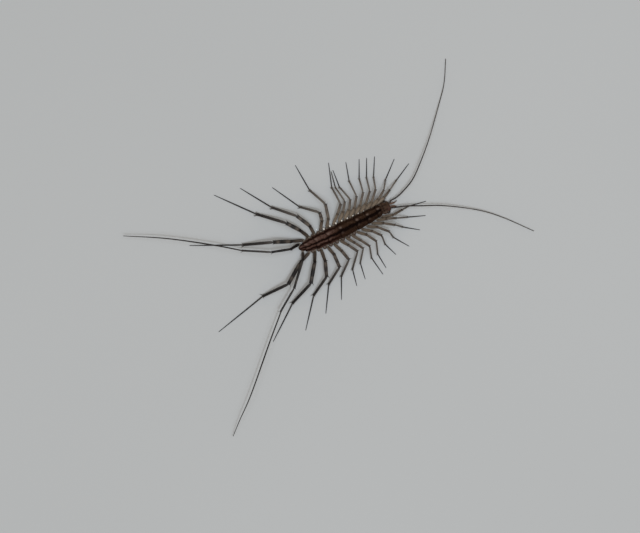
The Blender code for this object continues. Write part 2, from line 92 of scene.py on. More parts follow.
# Back plates: rise from the front edge to the rear one, and the shape of the rear edge.
PLATE_STEP = 0.13
PLATE_THICKNESS = 0.07
PLATE_TUCK = 0.3
MARGIN_SHARES = (0.0, 0.14, 0.38, 0.72, 0.93, 1.0)
MARGIN_REACH = (-0.28, -0.12, 0.16, 0.26, 0.22, 0.05)
CROWN_SHARES = (1.0, 0.99, 0.93, 0.7, 0.32, 0.0)
TAIL_MARGIN = (0.0, 0.0, 0.03, 0.14, 0.32, 0.45)
SADDLE_HEIGHT = 0.17
SADDLE_LENGTH = 0.34
SADDLE_WIDTH = 0.24
SADDLE_BACK = 0.42
SLIT_DEPTH = 0.1
SLIT_WIDTH = 0.035

# Lobes of soft skin between the roots of the legs, centred this far out from the plates' edge, and the
# white knobs over those of the left side, in front of this station. The lobes are dark skin and painted
# shade, longer on the right side; the white knobs are painted highlights.
LOBE_OUT = 0.04
LOBE_Z = 1.2
LOBE_SEMI = {"left": (0.62, 0.55, 0.42), "right": (0.85, 0.6, 0.42)}
LOBE_SKIN_AND_SHADE = (0.62, 0.5, 0.0)
LOBE_RANGE = {"left": (0.0, 25.0), "right": (0.0, 17.0)}
KNOB_OUT = 0.44
KNOB_Z = 1.68
KNOB_SEMI = (0.34, 0.28, 0.34)
KNOB_HIGHLIGHT = (0.0, 0.5, 1.0)
KNOBS_FROM = 8.0

# Legs: heights of their joints, turns of their hips to the rear, and bows of their segments.
HIP_Z = 1.0
FRONT_PAIRS = 8
GROWING_PAIRS = 5
LEFT_SWELL = 0.28
LAST_PAIR = 15
LAST_HIP = (0.7, 0.8)
LAST_HIP_TURN = 20.0
HIP_TURN_START = 9
HIP_TURN_STEP = 10.0
COXA_LENGTH = 0.6
THIGH_Z = 3.8
KNEE_Z = 4.7
ANKLE_Z = 1.0
TROCHANTER_REACH = 0.12
SEGMENT_BOWS = {"prefemur": 0.02, "femur": 0.03, "tibia": 0.035}
FOOT_TIP_RADIUS = 0.085
TOUCHDOWN = 0.3
LOW_THIGHS_Z = {1: 1.7, 14: 2.7}
LOW_KNEES_Z = {1: 3.6}
CROSSING_LEG = ("left", 8)
CROSSING_FOOT_Z = 0.95
LAST_HEIGHTS = {"left": (4.0, 5.2, 4.8, 3.2), "right": (4.4, 5.6, 5.9, 2.0)}

# Radii of a leg's parts, and lengths of its spines and spurs, from the front pairs to the rear ones.
LEG_RADII = {
    "coxa": (0.33, 0.38), "prefemur": (0.4, 0.46), "femur": (0.33, 0.54), "tibia": (0.21, 0.4),
    "tarsus": (0.155, 0.2),
}
LAST_RADII = {"coxa": 0.3, "prefemur": 0.4, "femur": 0.34, "tibia": 0.27, "tarsus": 0.2}
SPINE_LENGTHS = (0.15, 0.24)
SPUR_LENGTHS = (0.5, 1.0)
LAST_SPURS_SHARE = 0.4

# The photograph looks straight down. These are its pixels, x to the right and y down.
PHOTO_WIDTH = 640
PHOTO_CENTRE = (320.0, 266.5)
TAIL_PIXEL = np.array((298.9, 248.9))
HEAD_PIXEL = np.array((390.1, 206.8))
MM_PER_PIXEL = BODY_LENGTH / float(np.linalg.norm(HEAD_PIXEL - TAIL_PIXEL))
FORWARD = (HEAD_PIXEL - TAIL_PIXEL) / np.linalg.norm(HEAD_PIXEL - TAIL_PIXEL)
LEFTWARD = np.array((FORWARD[1], -FORWARD[0]))

# Joints of each leg in the photograph, from the first pair to the last: end of the prefemur, knee,
# ankle and tip.
LEG_PIXELS = {"left": (
    ((384.2, 197.6), (389.6, 190.0), (396.0, 180.8), (408.5, 164.0)),
    ((378.2, 199.4), (383.6, 190.2), (385.3, 180.3), (394.0, 159.5)),
    ((371.3, 202.5), (375.4, 189.6), (373.5, 177.5), (374.5, 157.0)),
    ((365.5, 204.2), (369.6, 191.6), (366.5, 178.0), (366.6, 158.5)),
    ((359.9, 206.0), (362.9, 192.6), (359.2, 179.0), (359.1, 159.8)),
    ((354.3, 208.0), (356.4, 196.6), (349.2, 181.5), (345.9, 162.7)),
    ((349.0, 210.0), (350.2, 199.8), (339.6, 187.6), (333.0, 170.6)),
    ((343.0, 211.8), (344.8, 201.8), (335.4, 187.8), (331.2, 172.0)),
    ((337.4, 213.8), (340.6, 204.4), (331.8, 188.0), (328.6, 163.4)),
    ((328.3, 218.6), (325.4, 204.4), (309.8, 190.6), (295.4, 165.6)),
    ((321.9, 220.6), (319.6, 212.8), (299.6, 207.0), (272.8, 187.9)),
    ((309.6, 226.0), (297.0, 216.4), (271.9, 207.6), (240.6, 188.5)),
    ((299.5, 230.2), (286.5, 223.4), (256.4, 214.2), (214.5, 195.3)),
    ((291.0, 241.6), (273.6, 242.4), (243.0, 245.0), (190.1, 245.5)),
    ((291.0, 249.2), (271.9, 252.3), (242.7, 250.7), (124.1, 236.0)),
), "right": (
    ((392.8, 215.0), (402.0, 209.8), (408.2, 206.4), (425.6, 201.3)),
    ((386.8, 218.7), (396.2, 218.2), (407.4, 217.2), (425.1, 215.6)),
    ((383.5, 223.3), (395.0, 225.0), (402.4, 227.0), (419.4, 229.8)),
    ((377.4, 227.2), (389.0, 231.7), (393.4, 237.4), (408.7, 246.0)),
    ((372.2, 231.2), (381.6, 235.6), (385.1, 244.2), (395.6, 254.2)),
    ((366.5, 234.8), (376.2, 241.2), (377.8, 254.2), (385.8, 267.4)),
    ((360.8, 240.4), (369.6, 246.2), (371.6, 258.0), (382.7, 273.9)),
    ((354.6, 242.8), (363.2, 248.4), (360.3, 263.0), (365.1, 278.7)),
    ((348.4, 245.2), (357.6, 251.4), (352.5, 269.2), (356.7, 285.4)),
    ((342.0, 251.4), (349.0, 259.6), (341.4, 276.2), (341.5, 299.3)),
    ((334.2, 254.6), (339.6, 267.2), (328.8, 284.2), (325.9, 313.0)),
    ((325.4, 261.4), (326.7, 276.8), (313.8, 295.2), (305.8, 329.8)),
    ((314.8, 262.2), (311.0, 283.4), (292.8, 303.0), (273.4, 341.2)),
    ((300.8, 262.2), (288.6, 284.0), (263.0, 296.2), (219.2, 331.5)),
    ((303.0, 259.5), (294.4, 288.0), (281.0, 311.2), (233.4, 435.6)),
)}

# Points of the last pair's feet between ankle and tip, with their heights over the floor.
LAST_FEET = {
    "left": (((218.0, 245.9), 5.5), ((185.0, 240.8), 5.0), ((158.8, 237.9), 4.6)),
    "right": (((279.3, 316.6), 6.0), ((269.9, 341.9), 6.3), ((251.7, 393.1), 6.4), ((240.0, 419.7), 4.6)),
}

# Antennae through the photograph's pixels, with their heights over the floor.
ANTENNAE = {
    "left": (((391.0, 200.4), 1.95), ((396.0, 197.6), 2.15), ((402.4, 191.8), 2.5), ((412.4, 179.4), 3.1),
             ((420.8, 160.8), 3.6), ((429.4, 137.0), 3.0), ((438.3, 106.1), 1.3), ((443.9, 83.7), 0.7),
             ((445.6, 59.0), 0.45)),
    "right": (((394.0, 207.6), 2.15), ((404.8, 206.2), 2.95), ((420.0, 205.9), 3.3), ((444.0, 205.8), 3.0),
              ((477.6, 210.0), 1.7), ((502.9, 217.5), 0.9), ((533.7, 231.0), 0.5)),
}
ANTENNA_BASE = ((0.72, 27.75, 1.83), (0.78, 28.4, 1.85))
ANTENNA_RADII = (0.2, 0.085)
SCAPE_LENGTHS = (0.75, 0.6)
SCAPE_RADII = (0.27, 0.23)

# The head: stations, half widths, undersides and tops of its cross-sections, from the neck forward.
HEAD_SECTIONS = (
    (25.2, 0.95, 1.25, 2.3),
    (25.4, 1.42, 1.1, 2.48),
    (25.9, 1.7, 1.07, 2.66),
    (26.35, 1.72, 1.05, 2.72),
    (26.9, 1.58, 1.03, 2.7),
    (27.35, 1.45, 1.02, 2.6),
    (27.75, 1.34, 1.0, 2.4),
    (27.95, 1.1, 1.02, 2.2),
    (28.0, 0.6, 1.3, 1.95),
)
HEAD_BULGE = 0.8
HEAD_SIDES = 96
HEAD_BRISTLES = 170
EYE_CENTRE = (1.45, 27.0, 1.9)
EYE_SEMI = (0.5, 0.56, 0.56)
EYE_RINGS = 90
EYE_SIDES = 150
EYE_FACETS = 700
EYE_FACET_DEPTH = 0.012

# Mouthparts from root to tip: the left poison claw, and the palp of each side.
FORCIPULE = (
    (0.62, 25.3, 0.8), (0.95, 26.1, 0.55), (1.0, 26.7, 0.46), (0.75, 27.3, 0.44), (0.32, 27.7, 0.47),
)
PALPS = {
    "left": ((0.36, 27.8, 1.28), (0.3, 28.8, 1.15), (0.2, 29.5, 0.95), (0.45, 30.4, 0.6)),
    "right": ((-0.36, 27.8, 1.28), (-0.5, 28.8, 1.15), (-0.9, 29.4, 0.85), (-1.4, 29.9, 0.45)),
}

# Lobes of the mouth: middle, half sizes and darkness.
MOUTH_LOBES = (
    ((0.0, 27.75, 1.1), (0.5, 0.3, 0.2), 0.45),
    ((0.27, 27.35, 0.95), (0.27, 0.42, 0.2), 0.35),
    ((0.55, 26.9, 0.98), (0.25, 0.5, 0.2), 0.4),
    ((-0.27, 27.35, 0.95), (0.27, 0.42, 0.2), 0.35),
    ((-0.55, 26.9, 0.98), (0.25, 0.5, 0.2), 0.4),
    ((0.0, 26.1, 0.98), (0.75, 0.65, 0.25), 0.35),
)
TAIL_HOOK = ((0.14, 0.75, 0.95), (0.17, 0.45, 0.82), (0.12, 0.12, 0.84))

# How dark each segment of a leg is along it, from 0, its palest, to 1, near black: the front pairs are
# nearly plain, and the rear ones have strong bands.
FRONT_BANDS = {
    "prefemur": ((0.0, 0.4), (0.2, 0.3), (0.8, 0.36), (1.0, 0.52)),
    "femur": ((0.0, 0.5), (0.15, 0.42), (0.55, 0.5), (0.8, 0.64), (0.9, 0.52), (1.0, 0.7)),
    "tibia": ((0.0, 0.55), (0.1, 0.4), (0.35, 0.4), (0.7, 0.48), (1.0, 0.6)),
    "tarsus": ((0.0, 0.78), (0.3, 0.86), (1.0, 0.82)),
}
REAR_BANDS = {
    "prefemur": ((0.0, 0.75), (0.15, 0.58), (0.45, 0.66), (0.66, 0.72), (0.8, 0.78), (1.0, 0.95)),
    "femur": (
        (0.0, 0.95), (0.18, 0.58), (0.28, 0.65), (0.42, 1.05), (0.6, 1.15), (0.74, 0.55), (0.82, 0.65),
        (0.92, 1.05),
    ),
    "tibia": ((0.0, 0.9), (0.1, 0.74), (0.25, 0.84), (0.5, 0.9), (0.88, 1.05), (1.0, 0.85)),
    "tarsus": ((0.0, 0.8), (0.06, 0.88), (0.3, 0.9), (1.0, 0.84)),
}
COXA_PAINT = (0.3, 0.8, 0.0)
TROCHANTER_PAINT = (0.4, 0.7, 0.0)
PART_WARMTH = {"prefemur": 0.55, "femur": 0.15, "tibia": -0.3}

# The bands darken from this pair on, over this many pairs. The left legs are painted paler and the right
# tibiae darker, as painted light and shade, and the last pair has shades of its own.
DARK_FROM = 7
DARK_PAIRS = 6
DARK_CURVE = 2.2
SIDE_SHADE = {
    "left": {"prefemur": -0.18, "femur": -0.08, "tibia": -0.08},
    "right": {"tibia": 0.1},
}
LAST_SHADE = {
    "left": {"prefemur": 0.6, "femur": 0.25, "tibia": -0.12},
    "right": {"femur": 0.1},
}

RANDOM = np.random.default_rng(15)

# Nothing reaches lower than this over the floor.
LOWEST_Z = 0.005

# Each bristle has a patch of this size on the unwrapped skin.
PATCH_SIZE = 0.003


def sway(station):
    """How far to the left the body's middle line lies at this station."""
    return np.interp(station, SWAY_STATIONS, SWAYS)


def between(ends, share):
    """The value at this share of the way from one end to the other."""
    return ends[0] + (ends[1] - ends[0]) * share


def together(*values):
    """Coordinates, or values of paint, spread to one shape and laid side by side."""
    return np.stack(np.broadcast_arrays(*values), axis=-1)


def spot(x, station, z):
    """The point (x, station, z) in the animal's own axes."""
    return together(x, -station, z)


def body_spot(x, station, z):
    """The point x to the left of the body's own middle line."""
    return spot(x + sway(station), station, z)


def pixel_spot(pixel, z):
    """The point at height z that the photograph shows at this pixel."""
    offset = np.array(pixel) - TAIL_PIXEL
    return spot(offset @ LEFTWARD * MM_PER_PIXEL, offset @ FORWARD * MM_PER_PIXEL, z)


def unit(vectors):
    return vectors / np.linalg.norm(vectors, axis=-1, keepdims=True)


def angles_round(sides):
    """Even angles round a ring."""
    return 2 * math.pi * np.arange(sides) / sides


def squarish(values, power):
    """A sine or cosine bulged towards a square wave."""
    return np.sign(values) * np.abs(values) ** power


def bell(values, middle, spread):
    """A smooth hump of height one."""
    return np.exp(-(((values - middle) / spread) ** 2))


def ease(values):
    """From 0 to 1 with a level start and end."""
    share = np.clip(values, 0.0, 1.0)
    return share * share * (3 - 2 * share)


def half_width(station):
    return np.interp(station, WIDTH_STATIONS, HALF_WIDTHS)


def wall(station):
    """Half width of the trunk's own side wall, under the overhang of the back plates."""
    return half_width(station) - OVERHANG


def lengths_along(path):
    """Distance of each point along a path from its start."""
    steps = np.linalg.norm(np.diff(path, axis=0), axis=1)
    return np.concatenate([[0.0], np.cumsum(steps)])


def spline(anchors, steps=12):
    """A smooth curve through the anchors, as rows of numbers."""
    knots = np.array(anchors, float)
    ends = np.vstack([2 * knots[0] - knots[1], knots, 2 * knots[-1] - knots[-2]])
    rows = []
    for index in range(len(knots) - 1):
        p0, p1, p2, p3 = ends[index:index + 4]
        for t in np.arange(steps) / steps:
            bend = 2 * p1 + (p2 - p0) * t + (2 * p0 - 5 * p1 + 4 * p2 - p3) * t**2
            rows.append((bend + (3 * p1 - p0 - 3 * p2 + p3) * t**3) / 2)
    return np.array(rows + [knots[-1]])


def rows_at(rows, lengths, places):
    """Rows of numbers at these places, where each row lies at one of the lengths."""
    return together(*(np.interp(places, lengths, column) for column in rows.T))


def points_at(path, places):
    """Points of a path at these distances along it."""
    return rows_at(path, lengths_along(path), places)


def directions(path):
    """Unit vectors along, across to the right and up at each point of a path."""
    along = unit(np.gradient(path, axis=0))
    across = unit(np.cross(along, (0.0, 0.0, 1.0)))
    return along, across, np.cross(across, along)


def round_about(path, places, turns):
    """Points of a path at these distances, with the directions along it and out to the given turns."""
    lengths = lengths_along(path)
    centres, along, across, up = [rows_at(rows, lengths, places) for rows in (path, *directions(path))]
    turns = np.broadcast_to(np.radians(turns), np.shape(places))[:, None]
    return centres, along, np.cos(turns) * across + np.sin(turns) * up


def circles(across, up, sides):
    """Points of unit circles, one for each row of the two vectors that span it."""
    angles = angles_round(sides)[None, :, None]
    return np.cos(angles) * across[:, None] + np.sin(angles) * up[:, None]


def tube_rings(path, radii, profile):
    """Rings round a path. The profile is the outline's radius at even angles, from the right side up."""
    _, across, up = directions(path)
    reach = np.asarray(radii)[:, None, None] * np.asarray(profile)[None, :, None]
    return path[:, None, :] + reach * circles(across, up, len(profile))


def placed(name, data):
    """A new object in the scene."""
    obj = bpy.data.objects.new(name, data)
    bpy.context.scene.collection.objects.link(obj)
    return obj


class Piece:
    """Closed surfaces gathered into one mesh. Each point has its paint, three numbers from 0 to 1.

    In a piece of bristles each point also has its root's home on the unwrapped skin under it.
    """

    def __init__(self):
        self.points = []
        self.paints = []
        self.homes = []
        self.faces = []
        self.count = 0

    def add(self, points, paint, *faces, homes=(0.0, 0.0)):
        points = points.reshape(-1, 3)
        self.points.append(points)
        self.paints.append(np.broadcast_to(paint, points.shape))
        self.homes.append(np.broadcast_to(homes, (len(points), 2)))
        self.faces += [face + self.count for face in faces]
        self.count += len(points)

    def loft(self, rings, paint, home=(0.0, 0.0)):
        """A surface through rings of points, with each end closed at its middle."""
        count, sides, _ = rings.shape
        grid = np.arange(count * sides).reshape(count, sides)
        beside = np.roll(grid, -1, axis=1)
        quads = np.stack([grid[:-1], grid[1:], beside[1:], beside[:-1]], axis=-1).reshape(-1, 4)
        first = np.full(sides, count * sides)
        caps = (together(grid[0], beside[0], first), together(beside[-1], grid[-1], first + 1))
        points = np.concatenate([rings.reshape(-1, 3), [rings[0].mean(0)], [rings[-1].mean(0)]])
        paints = np.broadcast_to(paint, (count, sides, 3))
        paints = np.concatenate([paints.reshape(-1, 3), [paints[0].mean(0)], [paints[-1].mean(0)]])
        patch = together(*np.divmod(np.arange(len(points)), sides)) / (count, sides)
        self.add(points, paints, quads, *caps, homes=np.array(home) + (patch - 0.5) * PATCH_SIZE)

    def spikes(self, bases, tips, radius, paint, homes, sides=3):
        """Thin cones from their bases to their tips."""
        along = unit(tips - bases)
        across = unit(np.cross(along, (0.31, 0.27, 0.91)))
        ring = bases[:, None] + radius * circles(across, np.cross(across, along), sides)
        points = np.concatenate([ring, tips[:, None]], axis=1)
        angles = angles_round(sides)
        patch = together(np.append(np.cos(angles), 0.0), np.append(np.sin(angles), 0.0)) / 2
        homes = np.asarray(homes)[:, None] + patch * PATCH_SIZE
        start = (np.arange(len(bases)) * (sides + 1))[:, None]
        faces = []
        for side in range(sides):
            faces.append(start + np.array((side, sides, (side + 1) % sides)))
        self.add(points, paint, *faces, start + np.arange(sides), homes=homes.reshape(-1, 2))

    def blob(self, centre, semi, paint, sides=20, count=14):
        """An egg-shaped lump, its rings run from rear to front."""
        turn = np.linspace(0.06, math.pi - 0.06, count)[:, None]
        angles = angles_round(sides)
        x = -np.sin(turn) * np.cos(angles)
        z = np.sin(turn) * np.sin(angles)
        self.loft(together(x, np.cos(turn), z) * semi + centre, paint)

    def make(self, name, material, nodes=(), unwrapped=False):
        """The gathered mesh as a piece that rides on the body."""
        mesh = bpy.data.meshes.new(name)
        points = np.concatenate(self.points)
        points[:, 2] = np.maximum(points[:, 2], LOWEST_Z)
        faces = [corners for group in self.faces for corners in group.tolist()]
        mesh.from_pydata((points * MM + ORIGIN).tolist(), [], faces)
        paints = np.concatenate(self.paints)
        colours = np.concatenate([paints, np.ones((len(paints), 1))], axis=1).astype(np.float32)
        attribute = mesh.color_attributes.new("paint", "FLOAT_COLOR", "POINT")
        attribute.data.foreach_set("color", colours.ravel())
        if unwrapped:
            corners = np.empty(len(mesh.loops), np.int32)
            mesh.loops.foreach_get("vertex_index", corners)
            homes = np.concatenate(self.homes)[corners].astype(np.float32)
            mesh.uv_layers.new(name="OFBake").data.foreach_set("uv", homes.ravel())
        mesh.materials.append(material)
        mesh.shade_smooth()
        mesh.set_sharp_from_angle(angle=math.radians(55))
        obj = placed(name, mesh)
        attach(obj, BODY)
        if nodes:
            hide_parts(*nodes)


# Materials


class Finish:
    """A material made of nodes, with textures measured in millimetres."""

    def __init__(self, name, roughness, specular=0.5, coat=0.0):
        self.material = bpy.data.materials.new(name)
        self.material.use_nodes = True
        self.tree = self.material.node_tree
        self.shader = self.tree.nodes["Principled BSDF"]
        self.fill(self.shader, {"Roughness": roughness, "Specular IOR Level": specular})
        self.fill(self.shader, {"Coat Weight": coat, "Coat Roughness": 0.3})
        place = self.node("TexCoord").outputs["Object"]
        self.place = self.node("Mapping", {"Vector": place, "Scale": (1 / MM,) * 3}).outputs["Vector"]

    def fill(self, node, inputs):
        """Sets inputs of a node to values, or links them to the outputs of other nodes."""
        for name, value in inputs.items():
            if isinstance(value, bpy.types.NodeSocket):
                self.tree.links.new(value, node.inputs[name])
            else:
                node.inputs[name].default_value = value

    def node(self, kind, inputs=None, **settings):
        node = self.tree.nodes.new(f"ShaderNode{kind}")
        for name, value in settings.items():
            setattr(node, name, value)
        self.fill(node, inputs or {})
        return node

    def paint(self):
        """The painted values of the mesh: three outputs."""
        colour = self.node("Attribute", attribute_name="paint").outputs["Color"]
        return self.node("SeparateColor", {"Color": colour}).outputs[:3]

    def noise(self, per_mm, detail, stretch=None):
        """Clouds this many to a millimetre, finer along an axis where the stretch is over 1."""
        place = self.place
        if stretch:
            place = self.node("Mapping", {"Vector": place, "Scale": stretch}).outputs["Vector"]
        return self.node("TexNoise", {"Vector": place, "Scale": per_mm, "Detail": detail}).outputs["Fac"]

    def cells(self, per_mm):
        return self.node("TexVoronoi", {"Vector": self.place, "Scale": per_mm}).outputs["Distance"]

    def math(self, operation, first, second):
        return self.node("Math", {0: first, 1: second}, operation=operation).outputs["Value"]

    def mix(self, factor, first, second):
        return self.node("Mix", {0: factor, 6: first, 7: second}, data_type="RGBA").outputs[2]

    def stirred(self, value, *textures):
        """A painted value that each texture moves up and down by an amount."""
        for texture, amount in textures:
            swing = self.math("MULTIPLY", self.math("SUBTRACT", texture, 0.5), amount)
            value = self.math("ADD", value, swing)
        return value

    def ramp(self, factor, stops, colours):
        node = self.node("ValToRGB", {"Fac": factor})
        elements = node.color_ramp.elements
        elements[0].position = stops[0]
        elements[1].position = stops[-1]
        for stop in stops[1:-1]:
            elements.new(stop)
        for element, colour in zip(elements, colours):
            element.color = (*colour, 1.0)
        return node.outputs["Color"]

    def two_ramps(self, factor, share, stops, cool, warm):
        """A cool and a warm ramp of colours from pale to dark, mixed by a share."""
        return self.mix(share, self.ramp(factor, stops, cool), self.ramp(factor, stops, warm))

    def colour(self, output):
        self.fill(self.shader, {"Base Color": output})

    def roughness(self, value, low, high):
        spread = self.node("MapRange", {"Value": value, "To Min": low, "To Max": high})
        self.fill(self.shader, {"Roughness": spread.outputs["Result"]})

    def bump(self, height, millimetres, strength=1.0):
        """Relief of this depth, laid over any relief given before."""
        inputs = {"Height": height, "Distance": millimetres * MM, "Strength": strength}
        for link in self.shader.inputs["Normal"].links:
            inputs["Normal"] = link.from_socket
        self.fill(self.shader, {"Normal": self.node("Bump", inputs).outputs["Normal"]})


def plate_finish():
    """Back plates. Red is how dark the stripes and the painted shade on the right are, green how red the
    ground is, blue a pale spot and its painted highlight.
    """
    finish = Finish("plate_cuticle", 0.75, 0.04)
    stripe, warmth, pale = finish.paint()
    mottle = finish.noise(3.2, 6.0, (1.0, 0.45, 1.0))
    grain = finish.noise(14.0, 3.0)
    ground = finish.two_ramps(
        finish.stirred(stripe, (mottle, 0.7), (grain, 0.3)),
        warmth,
        (0.08, 0.36, 0.62, 0.9),
        ((0.098, 0.066, 0.042), (0.038, 0.020, 0.0105), (0.014, 0.006, 0.003), (0.004, 0.0012, 0.0005)),
        ((0.140, 0.082, 0.066), (0.047, 0.021, 0.0135), (0.018, 0.0065, 0.004), (0.005, 0.0012, 0.0006)),
    )
    # The blue channel mixes in the pale colour of the spots and their painted highlight.
    finish.colour(finish.mix(finish.math("MULTIPLY", pale, 0.8), ground, (0.16, 0.12, 0.10, 1.0)))
    finish.roughness(grain, 0.66, 0.84)
    finish.bump(finish.cells(11.0), 0.012, 0.4)
    finish.bump(mottle, 0.04, 0.3)
    return finish.material


def head_finish():
    """Head capsule. Red is how dark a mark is, green how red the ground is, blue a pale spot."""
    finish = Finish("head_cuticle", 0.65, 0.06)
    mark, warmth, pale = finish.paint()
    mottle = finish.noise(4.5, 6.0)
    ground = finish.two_ramps(
        finish.stirred(mark, (mottle, 0.5)),
        warmth,
        (0.1, 0.5, 1.0),
        ((0.115, 0.078, 0.048), (0.042, 0.024, 0.014), (0.008, 0.0036, 0.0022)),
        ((0.135, 0.074, 0.056), (0.054, 0.025, 0.018), (0.010, 0.004, 0.0028)),
    )
    finish.colour(finish.mix(pale, ground, (0.19, 0.135, 0.115, 1.0)))
    finish.roughness(finish.noise(18.0, 3.0), 0.55, 0.75)
    finish.bump(finish.cells(15.0), 0.006, 0.35)
    finish.bump(mottle, 0.02, 0.25)
    return finish.material


def limb_finish():
    """Legs. Red is how dark the band is, green how brown it is, blue the crest of a ridge."""
    finish = Finish("limb_cuticle", 0.5, 0.35)
    band, warmth, crest = finish.paint()
    fleck = finish.noise(12.0, 4.0)
    dark = finish.stirred(band, (finish.noise(1.6, 4.0), 0.3), (fleck, 0.3))
    ground = finish.two_ramps(
        finish.math("SUBTRACT", dark, finish.math("MULTIPLY", crest, 0.06)),
        warmth,
        (0.0, 0.25, 0.5, 0.75, 1.0),
        (
            (0.340, 0.295, 0.245), (0.205, 0.178, 0.152), (0.112, 0.094, 0.080), (0.034, 0.028, 0.025),
            (0.009, 0.007, 0.007),
        ),
        (
            (0.360, 0.280, 0.208), (0.215, 0.165, 0.122), (0.115, 0.084, 0.062), (0.038, 0.026, 0.020),
            (0.010, 0.007, 0.006),
        ),
    )
    finish.colour(ground)
    finish.roughness(fleck, 0.42, 0.62)
    finish.bump(fleck, 0.02, 0.5)
    return finish.material


def skin_finish():
    """The soft sides and belly. Red is how dark it is, green how warm, blue the white of the knobs, a
    painted highlight.
    """
    finish = Finish("soft_skin", 0.5, 0.4)
    dark, warmth, pale = finish.paint()
    fleck = finish.noise(5.0, 6.0)
    ground = finish.two_ramps(
        finish.stirred(dark, (fleck, 0.7)),
        warmth,
        (0.1, 0.55, 1.0),
        ((0.23, 0.19, 0.14), (0.095, 0.072, 0.052), (0.03, 0.02, 0.015)),
        ((0.25, 0.165, 0.12), (0.11, 0.062, 0.044), (0.032, 0.018, 0.014)),
    )
    finish.colour(finish.mix(pale, ground, (0.88, 0.82, 0.74, 1.0)))
    finish.roughness(fleck, 0.4, 0.62)
    finish.bump(finish.noise(6.0, 5.0, (0.5, 2.2, 0.7)), 0.06, 0.6)
    finish.bump(finish.cells(16.0), 0.008, 0.4)
    return finish.material


def feeler_finish():
    """Antennae. Red is how dark a ring is, green how brown."""
    finish = Finish("feeler_cuticle", 0.45, 0.4)
    dark, warmth, _ = finish.paint()
    fleck = finish.noise(7.0, 4.0)
    ground = finish.two_ramps(
        finish.stirred(dark, (fleck, 0.35)),
        warmth,
        (0.1, 0.6, 1.0),
        ((0.15, 0.13, 0.115), (0.032, 0.027, 0.026), (0.010, 0.008, 0.008)),
        ((0.17, 0.12, 0.09), (0.045, 0.030, 0.024), (0.012, 0.008, 0.007)),
    )
    finish.colour(ground)
    finish.roughness(fleck, 0.38, 0.58)
    finish.bump(finish.noise(20.0, 3.0), 0.01, 0.4)
    return finish.material


def mouth_finish():
    """Mouthparts. Red is how dark a part is, towards the tips of the claws."""
    finish = Finish("mouth_cuticle", 0.32, 0.5, 0.1)
    dark = finish.paint()[0]
    fleck = finish.noise(6.0, 5.0)
    tone = finish.stirred(dark, (fleck, 0.4))
    ambers = ((0.36, 0.19, 0.095), (0.17, 0.075, 0.036), (0.018, 0.008, 0.006))
    finish.colour(finish.ramp(tone, (0.1, 0.5, 1.0), ambers))
    finish.roughness(fleck, 0.24, 0.42)
    finish.bump(finish.noise(16.0, 4.0), 0.012, 0.5)
    return finish.material


def eye_finish():
    """Faceted eyes, near black, with a brown cast between the facets."""
    finish = Finish("eye_lens", 0.2, 0.3, 0.1)
    seam = finish.paint()[0]
    tone = finish.stirred(seam, (finish.noise(3.0, 3.0), 0.3))
    browns = ((0.014, 0.009, 0.007), (0.030, 0.018, 0.012), (0.065, 0.038, 0.022))
    finish.colour(finish.ramp(tone, (0.0, 0.6, 1.0), browns))
    finish.roughness(seam, 0.12, 0.4)
    return finish.material


def bristle_finish():
    """Bristles and spurs, dark where red is low and amber where it is high."""
    finish = Finish("bristle_cuticle", 0.4, 0.45)
    pale = finish.paint()[0]
    fleck = finish.noise(9.0, 3.0)
    tone = finish.stirred(pale, (fleck, 0.3))
    ambers = ((0.016, 0.011, 0.009), (0.060, 0.036, 0.024), (0.15, 0.095, 0.06))
    finish.colour(finish.ramp(tone, (0.0, 0.6, 1.0), ambers))
    finish.roughness(fleck, 0.35, 0.5)
    return finish.material


# Back plates


def margin_curve(shares, values):
    """A smooth curve through a plate's values from its middle line to its rim."""
    curve = spline(together(shares, values), 10)
    return lambda u: np.interp(np.abs(u), curve[:, 0], curve[:, 1])


REAR_REACH = margin_curve(MARGIN_SHARES, MARGIN_REACH)
TAIL_REACH = margin_curve(MARGIN_SHARES, TAIL_MARGIN)
CROWN = margin_curve(MARGIN_SHARES, CROWN_SHARES)
PLATE_COLUMNS = 81
PLATE_ROWS = 72
PLATE_BRISTLES_PER_MM = 75


def plate_paint(u, station, behind, last):
    """Stripes of a plate, with painted shade and a painted highlight: across share u, station, and
    distance in front of the rear edge.
    """
    rearness = ease((14.5 - station) / 6.0)
    wobble = 0.035 * np.sin(station * 2.1) + 0.02 * np.sin(station * 5.3 + 1.0)
    median = bell(u, wobble - 0.08 - 0.04 * rearness, 0.12 + 0.1 * ease((station - 6.0) / 8.0))
    left = bell(u, 0.74 + wobble, 0.12) * (0.25 + 0.35 * rearness)
    right = bell(u, wobble - 0.68, 0.15) * (0.08 + 0.52 * rearness)
    edge = bell(behind, 0.0, 0.22) * 0.3
    # The ground is painted darker towards the plates' right side, fading to the rear: painted shade.
    ground = 0.22 + 0.13 * ease((station - 9.0) / 6.0) + 0.08 * ease(0.5 - u) * (1 - 0.8 * rearness)
    stripe = np.clip(ground + 0.8 * median + left + right + edge, 0.0, 1.1)
    # Pale spots in front of each rear edge, far stronger left of the middle: pale cuticle with a painted
    # highlight.
    pale_spot_and_highlight = bell(behind, 0.62, 0.3) * (0.9 * bell(u, 0.35, 0.13) + 0.25 * bell(u, -0.33, 0.13))
    pale_spot_and_highlight = pale_spot_and_highlight * (0.0 if last else 1.0)
    return together(np.clip(stripe - 0.3 * pale_spot_and_highlight, 0.0, 1.1), 0.3 + 0.7 * rearness, pale_spot_and_highlight)


